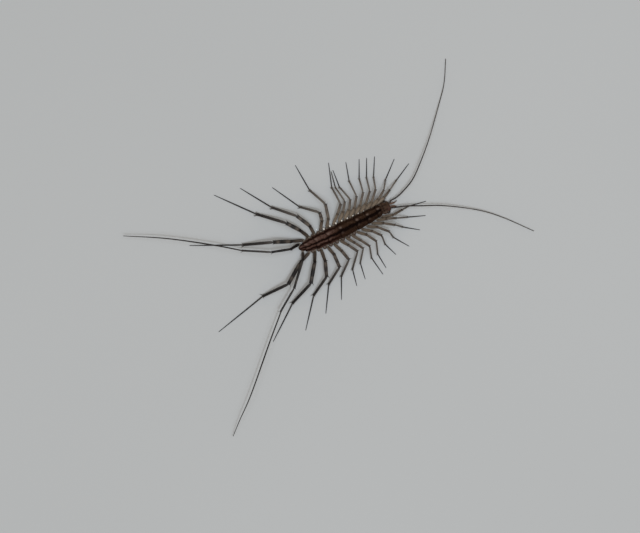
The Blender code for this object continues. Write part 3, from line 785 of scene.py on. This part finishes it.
def plate_surface(front, rear, last):
    """Points and paint of a plate's upper face: rows from front to rear, columns from right to left."""
    u = np.linspace(-1.0, 1.0, PLATE_COLUMNS)[None, :]
    v = np.linspace(0.0, 1.0, PLATE_ROWS)[:, None]
    length = front - rear
    behind = (1 - v) * length
    edge_zone = ease(1 - behind / min(1.1, 0.6 * length))
    reach = -TAIL_REACH(u) if last else REAR_REACH(u)
    line = front - v * length
    station = line - edge_zone * reach
    rise = PLATE_STEP * np.clip(2 * v - 1, -1.0, 1.0) * (0.4 if last else 1.0)
    corner = 1 - 0.16 * (1 - np.clip(v * length / 0.5, 0, 1)) ** 2
    corner = corner - 0.07 * (1 - np.clip(behind / 0.3, 0, 1)) ** 2
    width = (half_width(line) + rise) * corner
    slope = np.minimum(1.0, line / TAIL_SLOPE_STATION)
    back = TAIL_BACK_Z + (BACK_Z - TAIL_BACK_Z) * slope + rise
    height = RIM_Z + CROWN(u) * (back - RIM_Z)
    x = u * width
    if not last:
        saddle = bell(x, 0.0, SADDLE_WIDTH) * bell(behind, SADDLE_BACK, SADDLE_LENGTH)
        slit = bell(x, 0.0, SLIT_WIDTH) * ease(1 - np.abs(behind - 0.3) / 0.34)
        height = height + SADDLE_HEIGHT * saddle - SLIT_DEPTH * slit
    ridge = bell(np.abs(u), 0.52, 0.1) * 0.03 * ease(v * 4)
    bead = 0.035 * bell(1 - np.abs(u), 0.0, 0.035) + 0.03 * bell(behind, 0.0, 0.07)
    groove = -0.02 * bell(1 - np.abs(u), 0.09, 0.03)
    height = height + ridge + bead + groove
    return body_spot(x, station, height), plate_paint(u, station, behind, last)


def surface_normals(points):
    """Unit normals of a grid of points, upwards."""
    rows = np.gradient(points, axis=0)
    columns = np.gradient(points, axis=1)
    normals = unit(np.cross(columns, rows))
    return normals * np.where(normals[..., 2:] < 0, -1.0, 1.0)


def add_sheet(piece, outer, inner, paint, facing_up=True):
    """A thin plate between two grids of points, with the wall round its edge."""
    rows, columns, _ = outer.shape
    size = rows * columns
    grid = np.arange(size).reshape(rows, columns)
    quads = np.stack([grid[:-1, :-1], grid[:-1, 1:], grid[1:, 1:], grid[1:, :-1]], axis=-1).reshape(-1, 4)
    rim = np.concatenate([grid[0, :-1], grid[:-1, -1], grid[-1, :0:-1], grid[:0:-1, 0]])
    beyond = np.roll(rim, -1)
    walls = np.stack([rim, rim + size, beyond + size, beyond], axis=1)
    faces = [quads, quads[:, ::-1] + size, walls]
    if facing_up:
        faces = [face[:, ::-1] for face in faces]
    paints = paint.reshape(-1, 3)
    both = np.concatenate([outer.reshape(-1, 3), inner.reshape(-1, 3)])
    piece.add(both, np.concatenate([paints, paints]), *faces)


def plate_bristles(piece, points, count):
    """Short bristles that lie back over a plate, and a fringe along its rear edge."""
    normals = surface_normals(points)
    rows, columns, _ = points.shape
    row = RANDOM.integers(8, rows - 3, count)
    column = RANDOM.integers(3, columns - 3, count)
    fringe = np.arange(2, columns - 2, 2)
    row = np.concatenate([row, np.full(len(fringe), rows - 2)])
    column = np.concatenate([column, fringe])
    bases = points[row, column] - 0.02 * normals[row, column]
    lean = np.array((0.0, 1.0, 0.0)) + RANDOM.normal(0, 0.18, (len(row), 3))
    length = RANDOM.uniform(0.1, 0.2, (len(row), 1))
    tips = bases + (unit(lean) * 0.75 + normals[row, column] * 0.6) * length
    homes = together(column / columns, -bases[:, 1] / BODY_LENGTH)
    piece.spikes(bases, tips, 0.013, (0.35, 0.0, 0.0), homes)


def make_plates(cuticle, bristle):
    """The seven large back plates and the small last one, each over the front of the next."""
    fronts = (HEAD_REAR,) + TRUNK_REARS
    hairs = Piece()
    for index, front in enumerate(fronts):
        last = index == len(TRUNK_REARS)
        rear = 0.0 if last else TRUNK_REARS[index]
        start = front - 0.05 if index == 0 else front + PLATE_TUCK
        points, paint = plate_surface(start, rear, last)
        plate = Piece()
        add_sheet(plate, points, points - surface_normals(points) * PLATE_THICKNESS, paint)
        plate.make(f"back_plate_{index + 1}", cuticle)
        plate_bristles(hairs, points, int(PLATE_BRISTLES_PER_MM * (start - rear)))
    hairs.make("back_bristles", bristle, unwrapped=True)


# Soft body


def hip_stations():
    """Where the legs leave the trunk: evenly along each of its lengths, and behind the tail's core."""
    fronts = (HEAD_REAR,) + TRUNK_REARS[:-1]
    stations = []
    for front, rear, count in zip(fronts, TRUNK_REARS, LEGS_PER_LENGTH):
        for index in range(count):
            stations.append(front - (front - rear) * (index + 0.5) / count)
    return stations + [LAST_HIP[1]]


def make_skin(skin):
    """One skin along the trunk, swollen round the root of each leg, with lobes between the roots."""
    hips = np.array(hip_stations()[:-1])
    station = np.linspace(SKIN_FRONT, SKIN_REAR, SKIN_RINGS)[:, None]
    near_hip = sum(bell(station, hip, 0.42) for hip in hips)
    crease = 1 - near_hip
    taper = ease((station - 0.5) / 0.9)
    neck = 1 - 0.2 * bell(station, SKIN_FRONT, 0.25)
    width = np.maximum(wall(np.maximum(station, 0.95)), 0.3) * taper * neck
    width = width * (1 + 0.035 * near_hip - 0.03 * crease)
    top = SKIN_TOP_Z - 0.5 * np.maximum(0.0, 1 - station / 4.0)
    angles = angles_round(SKIN_SIDES)
    sines = squarish(np.sin(angles), SKIN_BULGE)
    flank = bell(np.sin(angles), -0.15, 0.45)
    pleat = (0.025 * np.sin(station * 9.0) + 0.03 * near_hip) * flank
    x = width * (1 + pleat) * squarish(np.cos(angles), SKIN_BULGE)
    z = (BELLY_Z + top) / 2 + (top - BELLY_Z) / 2 * taper * sines + 0.05 * crease * (sines < -0.6)
    # The flank is painted darker in the creases between the leg roots as painted shade, and paler towards
    # the belly.
    dark = 0.45 + 0.25 * crease * flank - 0.25 * bell(np.sin(angles), -1.0, 0.5)
    paint = together(dark, ease((13.0 - station) / 7.0) * 0.8, 0.0)
    body = Piece()
    body.loft(body_spot(x, station, z)[:, ::-1], paint[:, ::-1])
    # Dark lobes of skin and painted shade on both sides, and white knobs as painted highlights on the
    # left.
    for station in (hips[:-1] + hips[1:]) / 2:
        for side, sign in SIDES.items():
            first, final = LOBE_RANGE[side]
            if first < station < final:
                place = body_spot(sign * (half_width(station) + LOBE_OUT), station, LOBE_Z)
                body.blob(place, LOBE_SEMI[side], LOBE_SKIN_AND_SHADE)
        if station > KNOBS_FROM:
            body.blob(body_spot(half_width(station) + KNOB_OUT, station, KNOB_Z), KNOB_SEMI, KNOB_HIGHLIGHT)
    trunk_nodes = [f"trunk_{number:02d}" for number in range(1, len(TRUNK_REARS) + 1)]
    body.make("body_skin", skin, trunk_nodes + ["tail"])


def make_belly(cuticle):
    """A thin shield under the body for each pair of legs but the last."""
    shields = Piece()
    u = np.linspace(-1, 1, 25)[None, :]
    v = np.linspace(-1, 1, 17)[:, None]
    for number, hip in enumerate(hip_stations()[:-1]):
        reach = SHIELD_REACHES[number >= LONG_SHIELDS]
        x = u * wall(hip) * 0.56 * (1 - 0.12 * v) * (1 - 0.1 * v**4)
        z = BELLY_Z - 0.035 + 0.05 * u**4 + 0.03 * v**4 + 0.012 * bell(u, 0.0, 0.08)
        points = body_spot(x, hip - v * reach * (1 - 0.12 * u**2), z)
        paint = together(0.3 + 0.35 * np.abs(u) ** 3 + 0.0 * v, 0.4, 0.0)
        add_sheet(shields, points, points + (0.0, 0.0, SHIELD_THICKNESS), paint, facing_up=False)
    shields.make("belly_plates", cuticle)


# Head


def make_head(cuticle, bristle):
    """The head capsule with its furrows, eye sockets and antenna sockets."""
    station, half, under, top = np.hsplit(spline(HEAD_SECTIONS, 8), 4)
    cosines = -squarish(np.cos(angles_round(HEAD_SIDES)), HEAD_BULGE)
    sines = squarish(np.sin(angles_round(HEAD_SIDES)), HEAD_BULGE)
    x = half * cosines
    z = (under + top) / 2 + (top - under) / 2 * sines
    over = np.clip(sines, 0, 1)
    socket = bell(station, EYE_CENTRE[1], 0.42) * bell(z, EYE_CENTRE[2], 0.55)
    x = x + 0.2 * socket * cosines
    nape = bell(station, 26.05, 0.06) * over
    fork_x = 0.16 + np.clip(station - 26.7, 0, 2) * 0.62
    fork = bell(np.abs(x), fork_x, 0.035) * (station > 26.72) * (station < 27.7) * over
    seam = bell(x, 0.0, 0.03) * (station < 26.75) * (station > 26.05) * over
    brow = bell(np.abs(x), 0.95, 0.18) * bell(station, 26.9, 0.5) * over
    z = z - 0.05 * nape - 0.035 * fork - 0.035 * seam + 0.05 * brow
    rings = body_spot(x, station, z)
    mark = 0.4 + 0.35 * bell(np.abs(x), 0.66, 0.18) * over * (station < 27.2) + 0.5 * nape + 0.3 * fork
    mark = mark + 0.35 * bell(x, 0.0, 0.14) * over * (station < 26.4)
    warmth = 0.25 + 0.7 * ease((station - 26.4) / 1.0) * ease((0.4 - x) / 1.0)
    pale = 0.15 * bell(station, 27.55, 0.25) * bell(x, -0.5, 0.3) * over
    pale = pale + 0.45 * bell(station, 26.25, 0.5) * bell(x, -1.3, 0.22) * over
    head = Piece()
    head.loft(rings, together(np.clip(mark, 0, 1), np.clip(warmth, 0, 1), pale))
    x, station, z = ANTENNA_BASE[0]
    for sign in SIDES.values():
        path = np.array([body_spot(sign * x, station + step, z) for step in (-0.1, 0.12, 0.24, 0.27)])
        head.loft(tube_rings(path, (0.36, 0.37, 0.34, 0.27), np.ones(24)), (0.62, 0.6, 0.0))
    head.make("head_capsule", cuticle, ["head"])

    hairs = Piece()
    ring = RANDOM.integers(6, len(rings) - 6, HEAD_BRISTLES)
    side = RANDOM.integers(4, HEAD_SIDES // 2 - 4, HEAD_BRISTLES)
    bases = rings[ring, side]
    outward = unit(bases - body_spot(0.0, -bases[:, 1], EYE_CENTRE[2]))
    tips = bases + (outward * 0.8 + (0.0, -0.5, 0.0) + RANDOM.normal(0, 0.15, (len(bases), 3))) * 0.16
    homes = together(side / HEAD_SIDES, ring / len(rings))
    hairs.spikes(bases - outward * 0.02, tips, 0.012, (0.3, 0.0, 0.0), homes)
    hairs.make("head_bristles", bristle, unwrapped=True)


def facet_directions(count):
    """Evenly spread directions over a sphere, along a spiral."""
    index = np.arange(count) + 0.5
    level = 1 - 2 * index / count
    turn = math.pi * (1 + 5**0.5) * index
    flat = np.sqrt(1 - level**2)
    return together(level, flat * np.cos(turn), flat * np.sin(turn))


def make_eyes(lens):
    """Domed eyes of many lenses, their inner halves sunk in the head."""
    turn = np.linspace(0.01, math.pi - 0.01, EYE_RINGS)[:, None]
    angles = angles_round(EYE_SIDES)
    sphere = together(np.cos(turn), np.sin(turn) * np.cos(angles), np.sin(turn) * np.sin(angles))
    nearest = (sphere @ facet_directions(EYE_FACETS).T).max(axis=-1)
    gap = np.sqrt(np.maximum(0.0, 2 - 2 * nearest)) / math.sqrt(4 * math.pi / EYE_FACETS)
    swell = 1 + EYE_FACET_DEPTH / EYE_SEMI[0] * (1 - (gap / 0.62) ** 2)
    dome = sphere * swell[..., None] * EYE_SEMI
    paint = together(np.clip((gap - 0.35) / 0.3, 0, 1), 0.0, 0.0)
    x, station, z = EYE_CENTRE
    for side, sign in SIDES.items():
        rings = body_spot(sign * x, station, z) + dome * (sign, 1, 1)
        eye = Piece()
        eye.loft(rings[::-sign], paint[::-sign])
        eye.make(f"eye_lenses_{side}", lens, [f"eye_{side}"])


# Legs

RIDGES = 5
RIDGED = np.tile((1.09, 1.0, 0.965, 1.0), RIDGES)
ROUND_LIMB = np.ones(20)
ROUND_FOOT = np.ones(10)
ROUND_SPUR = np.ones(7)
SPINE_SPACING = 0.2
SPINED_RINGS = 13

# How far spines, foot bristles and fine bristles reach outward and along the limb, for their length.
SPINE_LEAN = (0.55, 0.85)
FOOT_LEAN = (0.5, 0.8)
FINE_LEAN = (0.6, 0.7)

# Lengths of the first and last article, and the outline of one: share of its length, and width.
FOOT_ARTICLES = (0.46, 0.24)
LAST_FOOT_ARTICLES = (0.34, 0.26)
FEELER_ARTICLES = (0.17, 0.13)
ARTICLE_SHAPE = ((0.02, 0.86), (0.2, 0.98), (0.85, 1.06), (0.98, 0.98))

# The outline of a segment, share of its length and width, and the spurs at its end: turn and size.
SEGMENT_SHAPE = (
    (0.0, 0.5), (0.02, 0.62), (0.05, 0.8), (0.09, 0.92), (0.16, 0.98), (0.3, 1.0), (0.45, 1.0),
    (0.6, 0.98), (0.72, 0.95), (0.84, 0.93), (0.92, 0.96), (0.97, 1.02), (0.995, 1.04), (1.0, 0.96),
    (0.985, 0.72),
)
SPURS = ((-34, 1.0), (34, 0.85), (-115, 0.5), (115, 0.5), (180, 0.6))

# The unwrapped legs lie above each other, and each has its parts in strips side by side.
LEG_STRIPS = 5


def band_value(part, places, rearness):
    """How dark a part is at these shares of its length, from a front leg's bands to a rear leg's."""
    bands = [np.interp(places, *zip(*bands[part])) for bands in (FRONT_BANDS, REAR_BANDS)]
    return between(bands, rearness)


def leg_home(home, share, turn):
    """The place on the unwrapped legs: across by share of the part, and up by leg and by turn round it."""
    row, part = home
    return together((part + share) / LEG_STRIPS, (row + turn / 360.0) / LAST_PAIR)


def add_spines(hairs, path, places, turns, radius, lean, length, width, tone, homes):
    """Spines or bristles at these places along a limb of this radius."""
    centres, along, outward = round_about(path, places, turns)
    bases = centres + outward * radius
    tips = bases + (outward * lean[0] + along * lean[1]) * length
    hairs.spikes(bases, tips, width, (tone, 0.0, 0.0), homes)


def ridge_rows(hairs, path, radii, length, home):
    """Rows of short spines along the ridges of a segment, leaning to its far end."""
    lengths = lengths_along(path)
    places = np.arange(SPINE_SPACING, lengths[-1] * 0.96, SPINE_SPACING)
    for ridge in range(RIDGES):
        turn = 360.0 * ridge / RIDGES
        stagger = places + RANDOM.uniform(-0.3, 0.3, len(places)) * SPINE_SPACING
        radius = np.interp(stagger, lengths, radii)[:, None] * 1.02
        size = length * RANDOM.uniform(0.7, 1.2, (len(places), 1))
        homes = leg_home(home, stagger / lengths[-1], turn)
        add_spines(hairs, path, stagger, turn, radius, SPINE_LEAN, size, 0.018, 0.25, homes)


def add_segment(limb, hairs, start, end, radius, part, tone, spine, home, swell):
    """One ridged segment of a leg, from its narrow neck to its flared end."""
    share, shape = np.array(SEGMENT_SHAPE).T
    path = between((start, end), share[:, None])
    path[:, 2] += SEGMENT_BOWS[part] * np.linalg.norm(end - start) * 4 * share * (1 - share)
    radii = radius * shape * (1 + swell * ease((share - 0.03) / 0.16))
    straight = path.copy()
    straight[-1] = path[-2] + (path[-2] - path[-3])
    _, across, up = directions(straight)
    crest = 1 + (RIDGED - 1) * np.clip(share * (1.02 - share) * 8, 0, 1)[:, None]
    reach = (radii[:, None] * crest)[..., None]
    rearness, warmth, shade = tone
    dark = band_value(part, share, rearness)[:, None] + shade
    limb.loft(
        path[:, None] + reach * circles(across, up, len(RIDGED)),
        together(dark, warmth + PART_WARMTH[part], (RIDGED > 1.05) * 1.0),
    )
    ridge_rows(hairs, path[:SPINED_RINGS], radii[:SPINED_RINGS], spine, home)


def add_spurs(hairs, before, joint, after, radius, length, home):
    """Stout spurs round the far end of a segment, the longest on the outer side of the bend."""
    arriving = unit(joint - before)
    outward = arriving - unit(after - joint) + np.array((0.0, 0.0, 0.2))
    outward = unit(outward - arriving * (outward @ arriving))
    side = np.cross(arriving, outward)
    for turn, share in SPURS:
        angle = math.radians(turn)
        normal = math.cos(angle) * outward + math.sin(angle) * side
        base = joint - arriving * radius * 0.3 + normal * radius * 0.88
        tip = base + (SPINE_LEAN[0] * normal + SPINE_LEAN[1] * arriving) * length * share
        tip[2] = max(tip[2], 0.03)
        bend = (base + tip) / 2 + normal * length * share * 0.07
        path = spline([base - normal * 0.08, bend, tip], 4)
        widths = np.linspace(1.0, 0.08, len(path)) * (0.055 + 0.05 * length) * math.sqrt(share)
        rings = tube_rings(path, widths, ROUND_SPUR)
        hairs.loft(rings, (0.12, 0.0, 0.0), leg_home(home, 0.98, turn % 360.0))


def article_starts(length, first, final):
    """Where the articles of a foot or feeler begin, each a little shorter than the one before."""
    starts = [0.0]
    while starts[-1] < length:
        starts.append(starts[-1] + between((first, final), starts[-1] / length))
    return np.array(starts[:-1] + [length])


def add_whip(limb, path, radii, articles, paint_at, profile):
    """A run of many short articles, each wider at its far end, from their first length to their last."""
    total = lengths_along(path)[-1]
    starts = article_starts(total, *articles)
    share, swell = np.array(ARTICLE_SHAPE).T
    places = (starts[:-1, None] + np.diff(starts)[:, None] * share).ravel()
    share = places / total
    widths = np.interp(share, np.linspace(0, 1, len(radii)), radii) * np.tile(swell, len(starts) - 1)
    limb.loft(tube_rings(points_at(path, places), widths, profile), paint_at(share[:, None]))
    return starts


def foot_path(ankle, tip, radius, lift):
    """The foot's line from the ankle down to the floor and along it to the tip."""
    landing = between((ankle, tip), TOUCHDOWN)
    landing[2] = radius + lift
    end = tip.copy()
    end[2] = FOOT_TIP_RADIUS + lift
    curve = spline([ankle, landing, (landing + end) / 2, end], 16)
    curve[:, 2] = np.maximum(curve[:, 2], np.linspace(radius, FOOT_TIP_RADIUS, len(curve)) + lift)
    return curve


def add_claw(hairs, path, home):
    """The small hooked claw at the end of a foot."""
    along = unit(path[-1] - path[-4])
    base = path[-1] - along * 0.08
    hook = spline([base, base + along * 0.2 + (0, 0, 0.05), base + along * 0.34 + (0, 0, -0.03)], 4)
    widths = np.linspace(0.06, 0.008, len(hook))
    hairs.loft(tube_rings(hook, widths, ROUND_SPUR), (0.3, 0.0, 0.0), leg_home(home, 0.99, 0.0))


def foot_bristles(hairs, path, starts, radius, home):
    """A pair of short bristles at the far end of each article of a foot, and finer ones over it."""
    share = starts / lengths_along(path)[-1]
    taper = np.interp(share, (0, 1), (radius * 0.95, FOOT_TIP_RADIUS))[:, None] * 0.9
    for turn in (-25.0, 205.0, 60.0, 120.0):
        size = 0.15 * RANDOM.uniform(0.8, 1.2, (len(starts), 1))
        homes = leg_home(home, share, turn % 360.0)
        add_spines(hairs, path, starts, turn, taper, FOOT_LEAN, size, 0.014, 0.25, homes)


def leg_build(side, number):
    """The radii of a leg's parts, the heights of its joints, and the lengths of its spines and spurs."""
    share = min(1.0, max(0.0, (number - FRONT_PAIRS) / GROWING_PAIRS))
    radii = {part: between(ends, share) for part, ends in LEG_RADII.items()}
    heights = (LOW_THIGHS_Z.get(number, THIGH_Z), LOW_KNEES_Z.get(number, KNEE_Z), ANKLE_Z, 0.0)
    if number == LAST_PAIR:
        radii, heights, share = LAST_RADII, LAST_HEIGHTS[side], LAST_SPURS_SHARE
    return radii, heights, between(SPINE_LENGTHS, share), between(SPUR_LENGTHS, share)


def coxa_ends(side, number, station, radius):
    """The root of a leg's coxa in the flank and its outer end, which turns back on the rear pairs."""
    sign = SIDES[side]
    last = number == LAST_PAIR
    turn = math.radians(LAST_HIP_TURN if last else max(0.0, (number - HIP_TURN_START) * HIP_TURN_STEP))
    outward = np.array((sign * math.cos(turn), math.sin(turn), 0.0))
    x = LAST_HIP[0] if last else float(wall(station)) + radius * math.sin(turn)
    root = body_spot(sign * (x - 0.25), station, HIP_Z)
    if last:
        return root - outward * 0.1, body_spot(sign * x, station, HIP_Z) + outward * COXA_LENGTH
    return root, body_spot(sign * (x + 0.3), station, HIP_Z) + outward * (COXA_LENGTH - 0.1)


def add_hip(limb, root, end, thigh, radius):
    """The coxa, and the short trochanter, which bears the prefemur. Returns the prefemur's root."""
    path = spline([root, (root + end) / 2, end], 6)
    widths = np.interp(np.linspace(0, 1, len(path)), (0, 0.3, 0.85, 1.0), (1.12, 1.05, 1.0, 0.8))
    limb.loft(tube_rings(path, radius * widths, RIDGED), COXA_PAINT)
    reach = unit(thigh - end) * TROCHANTER_REACH
    bend = end + reach
    widths = np.array((0.7, 0.98, 1.04, 1.04, 0.98, 0.7))
    limb.loft(
        tube_rings(np.linspace(end - reach, bend + reach, 6), radius * widths, ROUND_LIMB),
        TROCHANTER_PAINT,
    )
    return bend


def make_leg(side, number, station, pixels, cuticle, hairs):
    """A leg: coxa, trochanter, prefemur, femur, tibia and the long foot of many articles."""
    last = number == LAST_PAIR
    row = number - 1
    radii, heights, spine, spur = leg_build(side, number)
    thigh, knee, ankle, tip = [pixel_spot(pixel, z) for pixel, z in zip(pixels, heights)]
    lift = CROSSING_FOOT_Z if (side, number) == CROSSING_LEG else 0.0
    ankle[2] += lift / 2
    if last:
        foot = spline([ankle] + [pixel_spot(pixel, z) for pixel, z in LAST_FEET[side]] + [tip], 20)
    else:
        foot = foot_path(ankle, tip, radii["tarsus"], lift)

    limb = Piece()
    root, coxa_end = coxa_ends(side, number, station, radii["coxa"])
    bend = add_hip(limb, root, coxa_end, thigh, radii["coxa"])

    darkness = min(1.0, max(0.0, (number - DARK_FROM) / DARK_PAIRS))
    rearness = 1.0 if last else darkness**DARK_CURVE
    shades = LAST_SHADE[side] if last else SIDE_SHADE[side]
    joints = (bend, thigh, knee, ankle, foot[8])
    for index, part in enumerate(SEGMENT_BOWS):
        start, end, after = joints[index:index + 3]
        shade = shades.get(part, 0.0)
        swell = 0.0
        if part == "prefemur" and not last:
            shade *= 1 - darkness
            swell = LEFT_SWELL * (side == "left" and number <= FRONT_PAIRS)
        tone = (rearness, 0.6 - 0.35 * darkness, shade)
        add_segment(limb, hairs, start, end, radii[part], part, tone, spine, (row, index), swell)
        add_spurs(hairs, start, end, after, radii[part], spur, (row, index))

    def foot_paint(share):
        return together(band_value("tarsus", share, rearness), 0.35, 0.0)

    radius = radii["tarsus"]
    widths = (radius * 0.9, radius, radius * 0.8, FOOT_TIP_RADIUS)
    articles = LAST_FOOT_ARTICLES if last else FOOT_ARTICLES
    starts = add_whip(limb, foot, widths, articles, foot_paint, ROUND_FOOT)
    foot_bristles(hairs, foot, starts, radius, (row, 3))
    add_claw(hairs, foot, (row, 3))
    limb.make(f"limb_{side}_{number:02d}", cuticle, [f"leg_{side}_{number:02d}"])


def make_legs(cuticle, bristle):
    """All legs, and the spines of each side's legs as one piece."""
    stations = hip_stations()
    for side, rows in LEG_PIXELS.items():
        hairs = Piece()
        for number, (station, pixels) in enumerate(zip(stations, rows), start=1):
            make_leg(side, number, station, pixels, cuticle, hairs)
        hairs.make(f"leg_spines_{side}", bristle, unwrapped=True)


# Antennae, mouthparts and the end of the tail


def feeler_paint(share):
    """Faint dark and pale stretches, and less warmth towards the tip."""
    dark = 0.62 + 0.12 * np.sin(share * 46.0) + 0.1 * np.sin(share * 9.0)
    return together(dark, 0.65 - 0.35 * share, 0.0)


def make_antennae(cuticle, bristle):
    """Whips of hundreds of short rings, each on a base of two stout ones."""
    hairs = Piece()
    for side, sign in SIDES.items():
        anchors = [body_spot(sign * x, station, z) for x, station, z in ANTENNA_BASE]
        anchors += [pixel_spot(pixel, z) for pixel, z in ANTENNAE[side]]
        path = spline(anchors, 24)
        feeler = Piece()
        begin = 0.15
        for length, radius in zip(SCAPE_LENGTHS, SCAPE_RADII):
            places = begin + length * np.array((0.0, 0.08, 0.3, 0.7, 0.92, 1.0))
            widths = radius * np.array((0.72, 0.95, 1.0, 1.02, 1.08, 0.85))
            feeler.loft(tube_rings(points_at(path, places), widths, ROUND_LIMB), (0.6, 0.75, 0.0))
            begin += length * 0.98
        whip = points_at(path, np.linspace(begin - 0.05, lengths_along(path)[-1], 400))
        widths = np.interp(np.linspace(0, 1, 9), (0, 1), ANTENNA_RADII)
        widths[1] *= 1.05
        starts = add_whip(feeler, whip, widths, FEELER_ARTICLES, feeler_paint, np.ones(9))
        share = starts / lengths_along(whip)[-1]
        radius = np.interp(share, (0, 1), ANTENNA_RADII)[:, None] * 0.9
        for angle in (20, 110, 200, 290):
            turns = angle + RANDOM.uniform(-25, 25, len(starts))
            homes = together(share, (turns % 360.0) / 720 + (0.5 if side == "left" else 0.0))
            add_spines(hairs, whip, starts, turns, radius, FINE_LEAN, 0.11, 0.009, 0.3, homes)
        feeler.make(f"feeler_{side}", cuticle, [f"antenna_{side}"])
    hairs.make("feeler_bristles", bristle, unwrapped=True)


def add_articles(part, anchors, radii, darks, hairs, length, strip):
    """A short limb of the mouth: articles between the anchors, the last one tapering."""
    share = np.linspace(0, 1, 12)
    rows = np.arange(2, 11)
    for index in range(len(anchors) - 1):
        path = between(anchors[index:], share[:, None])
        shape = np.interp(share, (0, 0.12, 0.5, 0.88, 1.0), (0.7, 0.98, 1.05, 1.08, 0.85))
        if index == len(anchors) - 2:
            shape = np.interp(share, (0, 0.1, 0.5, 1.0), (0.75, 1.0, 0.85, 0.7))
        widths = between(radii[index:], share) * shape
        dark = between(darks[index:], share)
        part.loft(tube_rings(path, widths, ROUND_LIMB), together(dark[:, None], 0.5, 0.0))
        places = lengths_along(path)[rows]
        radius = widths[rows][:, None] * 0.95
        for turn in range(0, 360, 60):
            homes = together((index + share[rows]) / len(anchors), (strip + turn / 360.0) / 2)
            add_spines(hairs, path, places, turn, radius, FINE_LEAN, length, 0.012, 0.3, homes)


def make_mouth(cuticle, bristle):
    """Poison claws, palps and the lobes of the mouth under the front of the head."""
    for side, sign in SIDES.items():
        hairs = Piece()
        claw = Piece()
        anchors = [body_spot(sign * x, station, z) for x, station, z in FORCIPULE]
        add_articles(claw, anchors[:3], (0.3, 0.32, 0.27), (0.25, 0.3, 0.35), hairs, 0.16, 0)
        fang = spline(anchors[2:], 6)
        widths = np.interp(np.linspace(0, 1, len(fang)), (0, 0.2, 0.6, 1.0), (0.22, 0.25, 0.15, 0.015))
        dark = np.linspace(0.35, 1.0, len(fang))[:, None]
        claw.loft(tube_rings(fang, widths, ROUND_LIMB), together(dark, 0.5, 0.0))
        claw.make(f"poison_claw_{side}", cuticle, [f"forcipule_{side}"])
        palp = Piece()
        anchors = [body_spot(x, station, z) for x, station, z in PALPS[side]]
        add_articles(palp, anchors, (0.2, 0.22, 0.18, 0.07), (0.45, 0.5, 0.6, 0.75), hairs, 0.2, 1)
        palp.make(f"mouth_palp_{side}", cuticle, [f"palp_{side}"])
        hairs.make(f"mouth_bristles_{side}", bristle, unwrapped=True)
    lobes = Piece()
    for middle, semi, dark in MOUTH_LOBES:
        lobes.blob(body_spot(*middle), semi, (dark, 0.5, 0.0))
    lobes.make("mouth_lobes", cuticle)


def make_tail_end(skin):
    """The end segment between the last legs and the small forceps under it."""
    end = Piece()
    end.blob(body_spot(0.0, 0.75, 1.35), (0.33, 0.42, 0.42), (0.5, 0.7, 0.0))
    for sign in SIDES.values():
        path = spline([body_spot(sign * x, station, z) for x, station, z in TAIL_HOOK], 6)
        widths = np.interp(np.linspace(0, 1, len(path)), (0, 0.5, 1.0), (0.11, 0.09, 0.012))
        end.loft(tube_rings(path, widths, np.ones(14)), (0.55, 0.7, 0.0))
    end.make("tail_end", skin)


# Studio

# A broad light from overhead, and a small one from the animal's right, whose faint shadows lie beside
# the legs that stand high: name, direction, size and power of each.
LIGHTS = (
    ("overhead", (-0.06, 0.0, 1.0), 0.9, 7.4),
    ("side", (-0.2, -0.005, 1.0), 0.06, 3.0),
)
LIGHT_COLOUR = (0.84, 0.92, 1.0)
LIGHT_DISTANCE = 1.3
GLOW = 0.3
GLOW_COLOUR = (1.0, 0.88, 0.73, 1.0)
FLOOR_HALF = 4.0
CAMERA_HEIGHT = 1.3


def world_point(pixel, z=0.0):
    return Vector(pixel_spot(pixel, z) * MM + ORIGIN)


def make_studio():
    """A plain pale floor, two lights from above and an even glow."""
    mesh = bpy.data.meshes.new("studio_floor")
    corners = [(x * FLOOR_HALF, y * FLOOR_HALF, 0) for x, y in ((-1, -1), (1, -1), (1, 1), (-1, 1))]
    mesh.from_pydata(corners, [], [(0, 1, 2, 3)])
    floor = placed("studio_floor", mesh)
    finish = Finish("studio_floor", 0.85, 0.2)
    tone = finish.noise(0.004, 2.0)
    finish.colour(finish.ramp(tone, (0.3, 0.7), ((0.575, 0.58, 0.58), (0.6, 0.605, 0.605))))
    mesh.materials.append(finish.material)

    centre = world_point(PHOTO_CENTRE)
    for name, towards, size, power in LIGHTS:
        light = bpy.data.lights.new(name, "AREA")
        light.shape = "DISK"
        light.size = size
        light.energy = power
        light.color = LIGHT_COLOUR
        lamp = placed(name, light)
        lamp.location = centre + Vector(towards).normalized() * LIGHT_DISTANCE
        lamp.rotation_mode = "QUATERNION"
        lamp.rotation_quaternion = Vector(towards).to_track_quat("Z", "Y")

    world = bpy.data.worlds.new("studio")
    world.use_nodes = True
    glow = world.node_tree.nodes["Background"]
    glow.inputs["Color"].default_value = GLOW_COLOUR
    glow.inputs["Strength"].default_value = GLOW
    bpy.context.scene.world = world
    bpy.context.scene.view_settings.view_transform = "Standard"


def make_camera():
    """Straight down, turned so that the animal lies as in the photograph."""
    data = bpy.data.cameras.new("camera")
    data.sensor_width = 36.0
    data.lens = data.sensor_width * CAMERA_HEIGHT / (PHOTO_WIDTH * MM_PER_PIXEL * MM)
    data.clip_start = 0.05
    data.clip_end = 20.0
    camera = placed("camera", data)
    right = (world_point((1, 0)) - world_point((0, 0))).normalized()
    up = (world_point((0, 0)) - world_point((0, 1))).normalized()
    camera.location = world_point(PHOTO_CENTRE) + Vector((0, 0, CAMERA_HEIGHT))
    camera.rotation_mode = "QUATERNION"
    camera.rotation_quaternion = Matrix((right, up, Vector((0, 0, 1)))).transposed().to_quaternion()
    bpy.context.scene.camera = camera


def main():
    bristle = bristle_finish()
    cuticle = plate_finish()
    skin = skin_finish()
    make_plates(cuticle, bristle)
    make_skin(skin)
    make_belly(cuticle)
    make_tail_end(skin)
    make_head(head_finish(), bristle)
    make_eyes(eye_finish())
    make_legs(limb_finish(), bristle)
    make_antennae(feeler_finish(), bristle)
    make_mouth(mouth_finish(), bristle)
    make_studio()
    make_camera()


main()
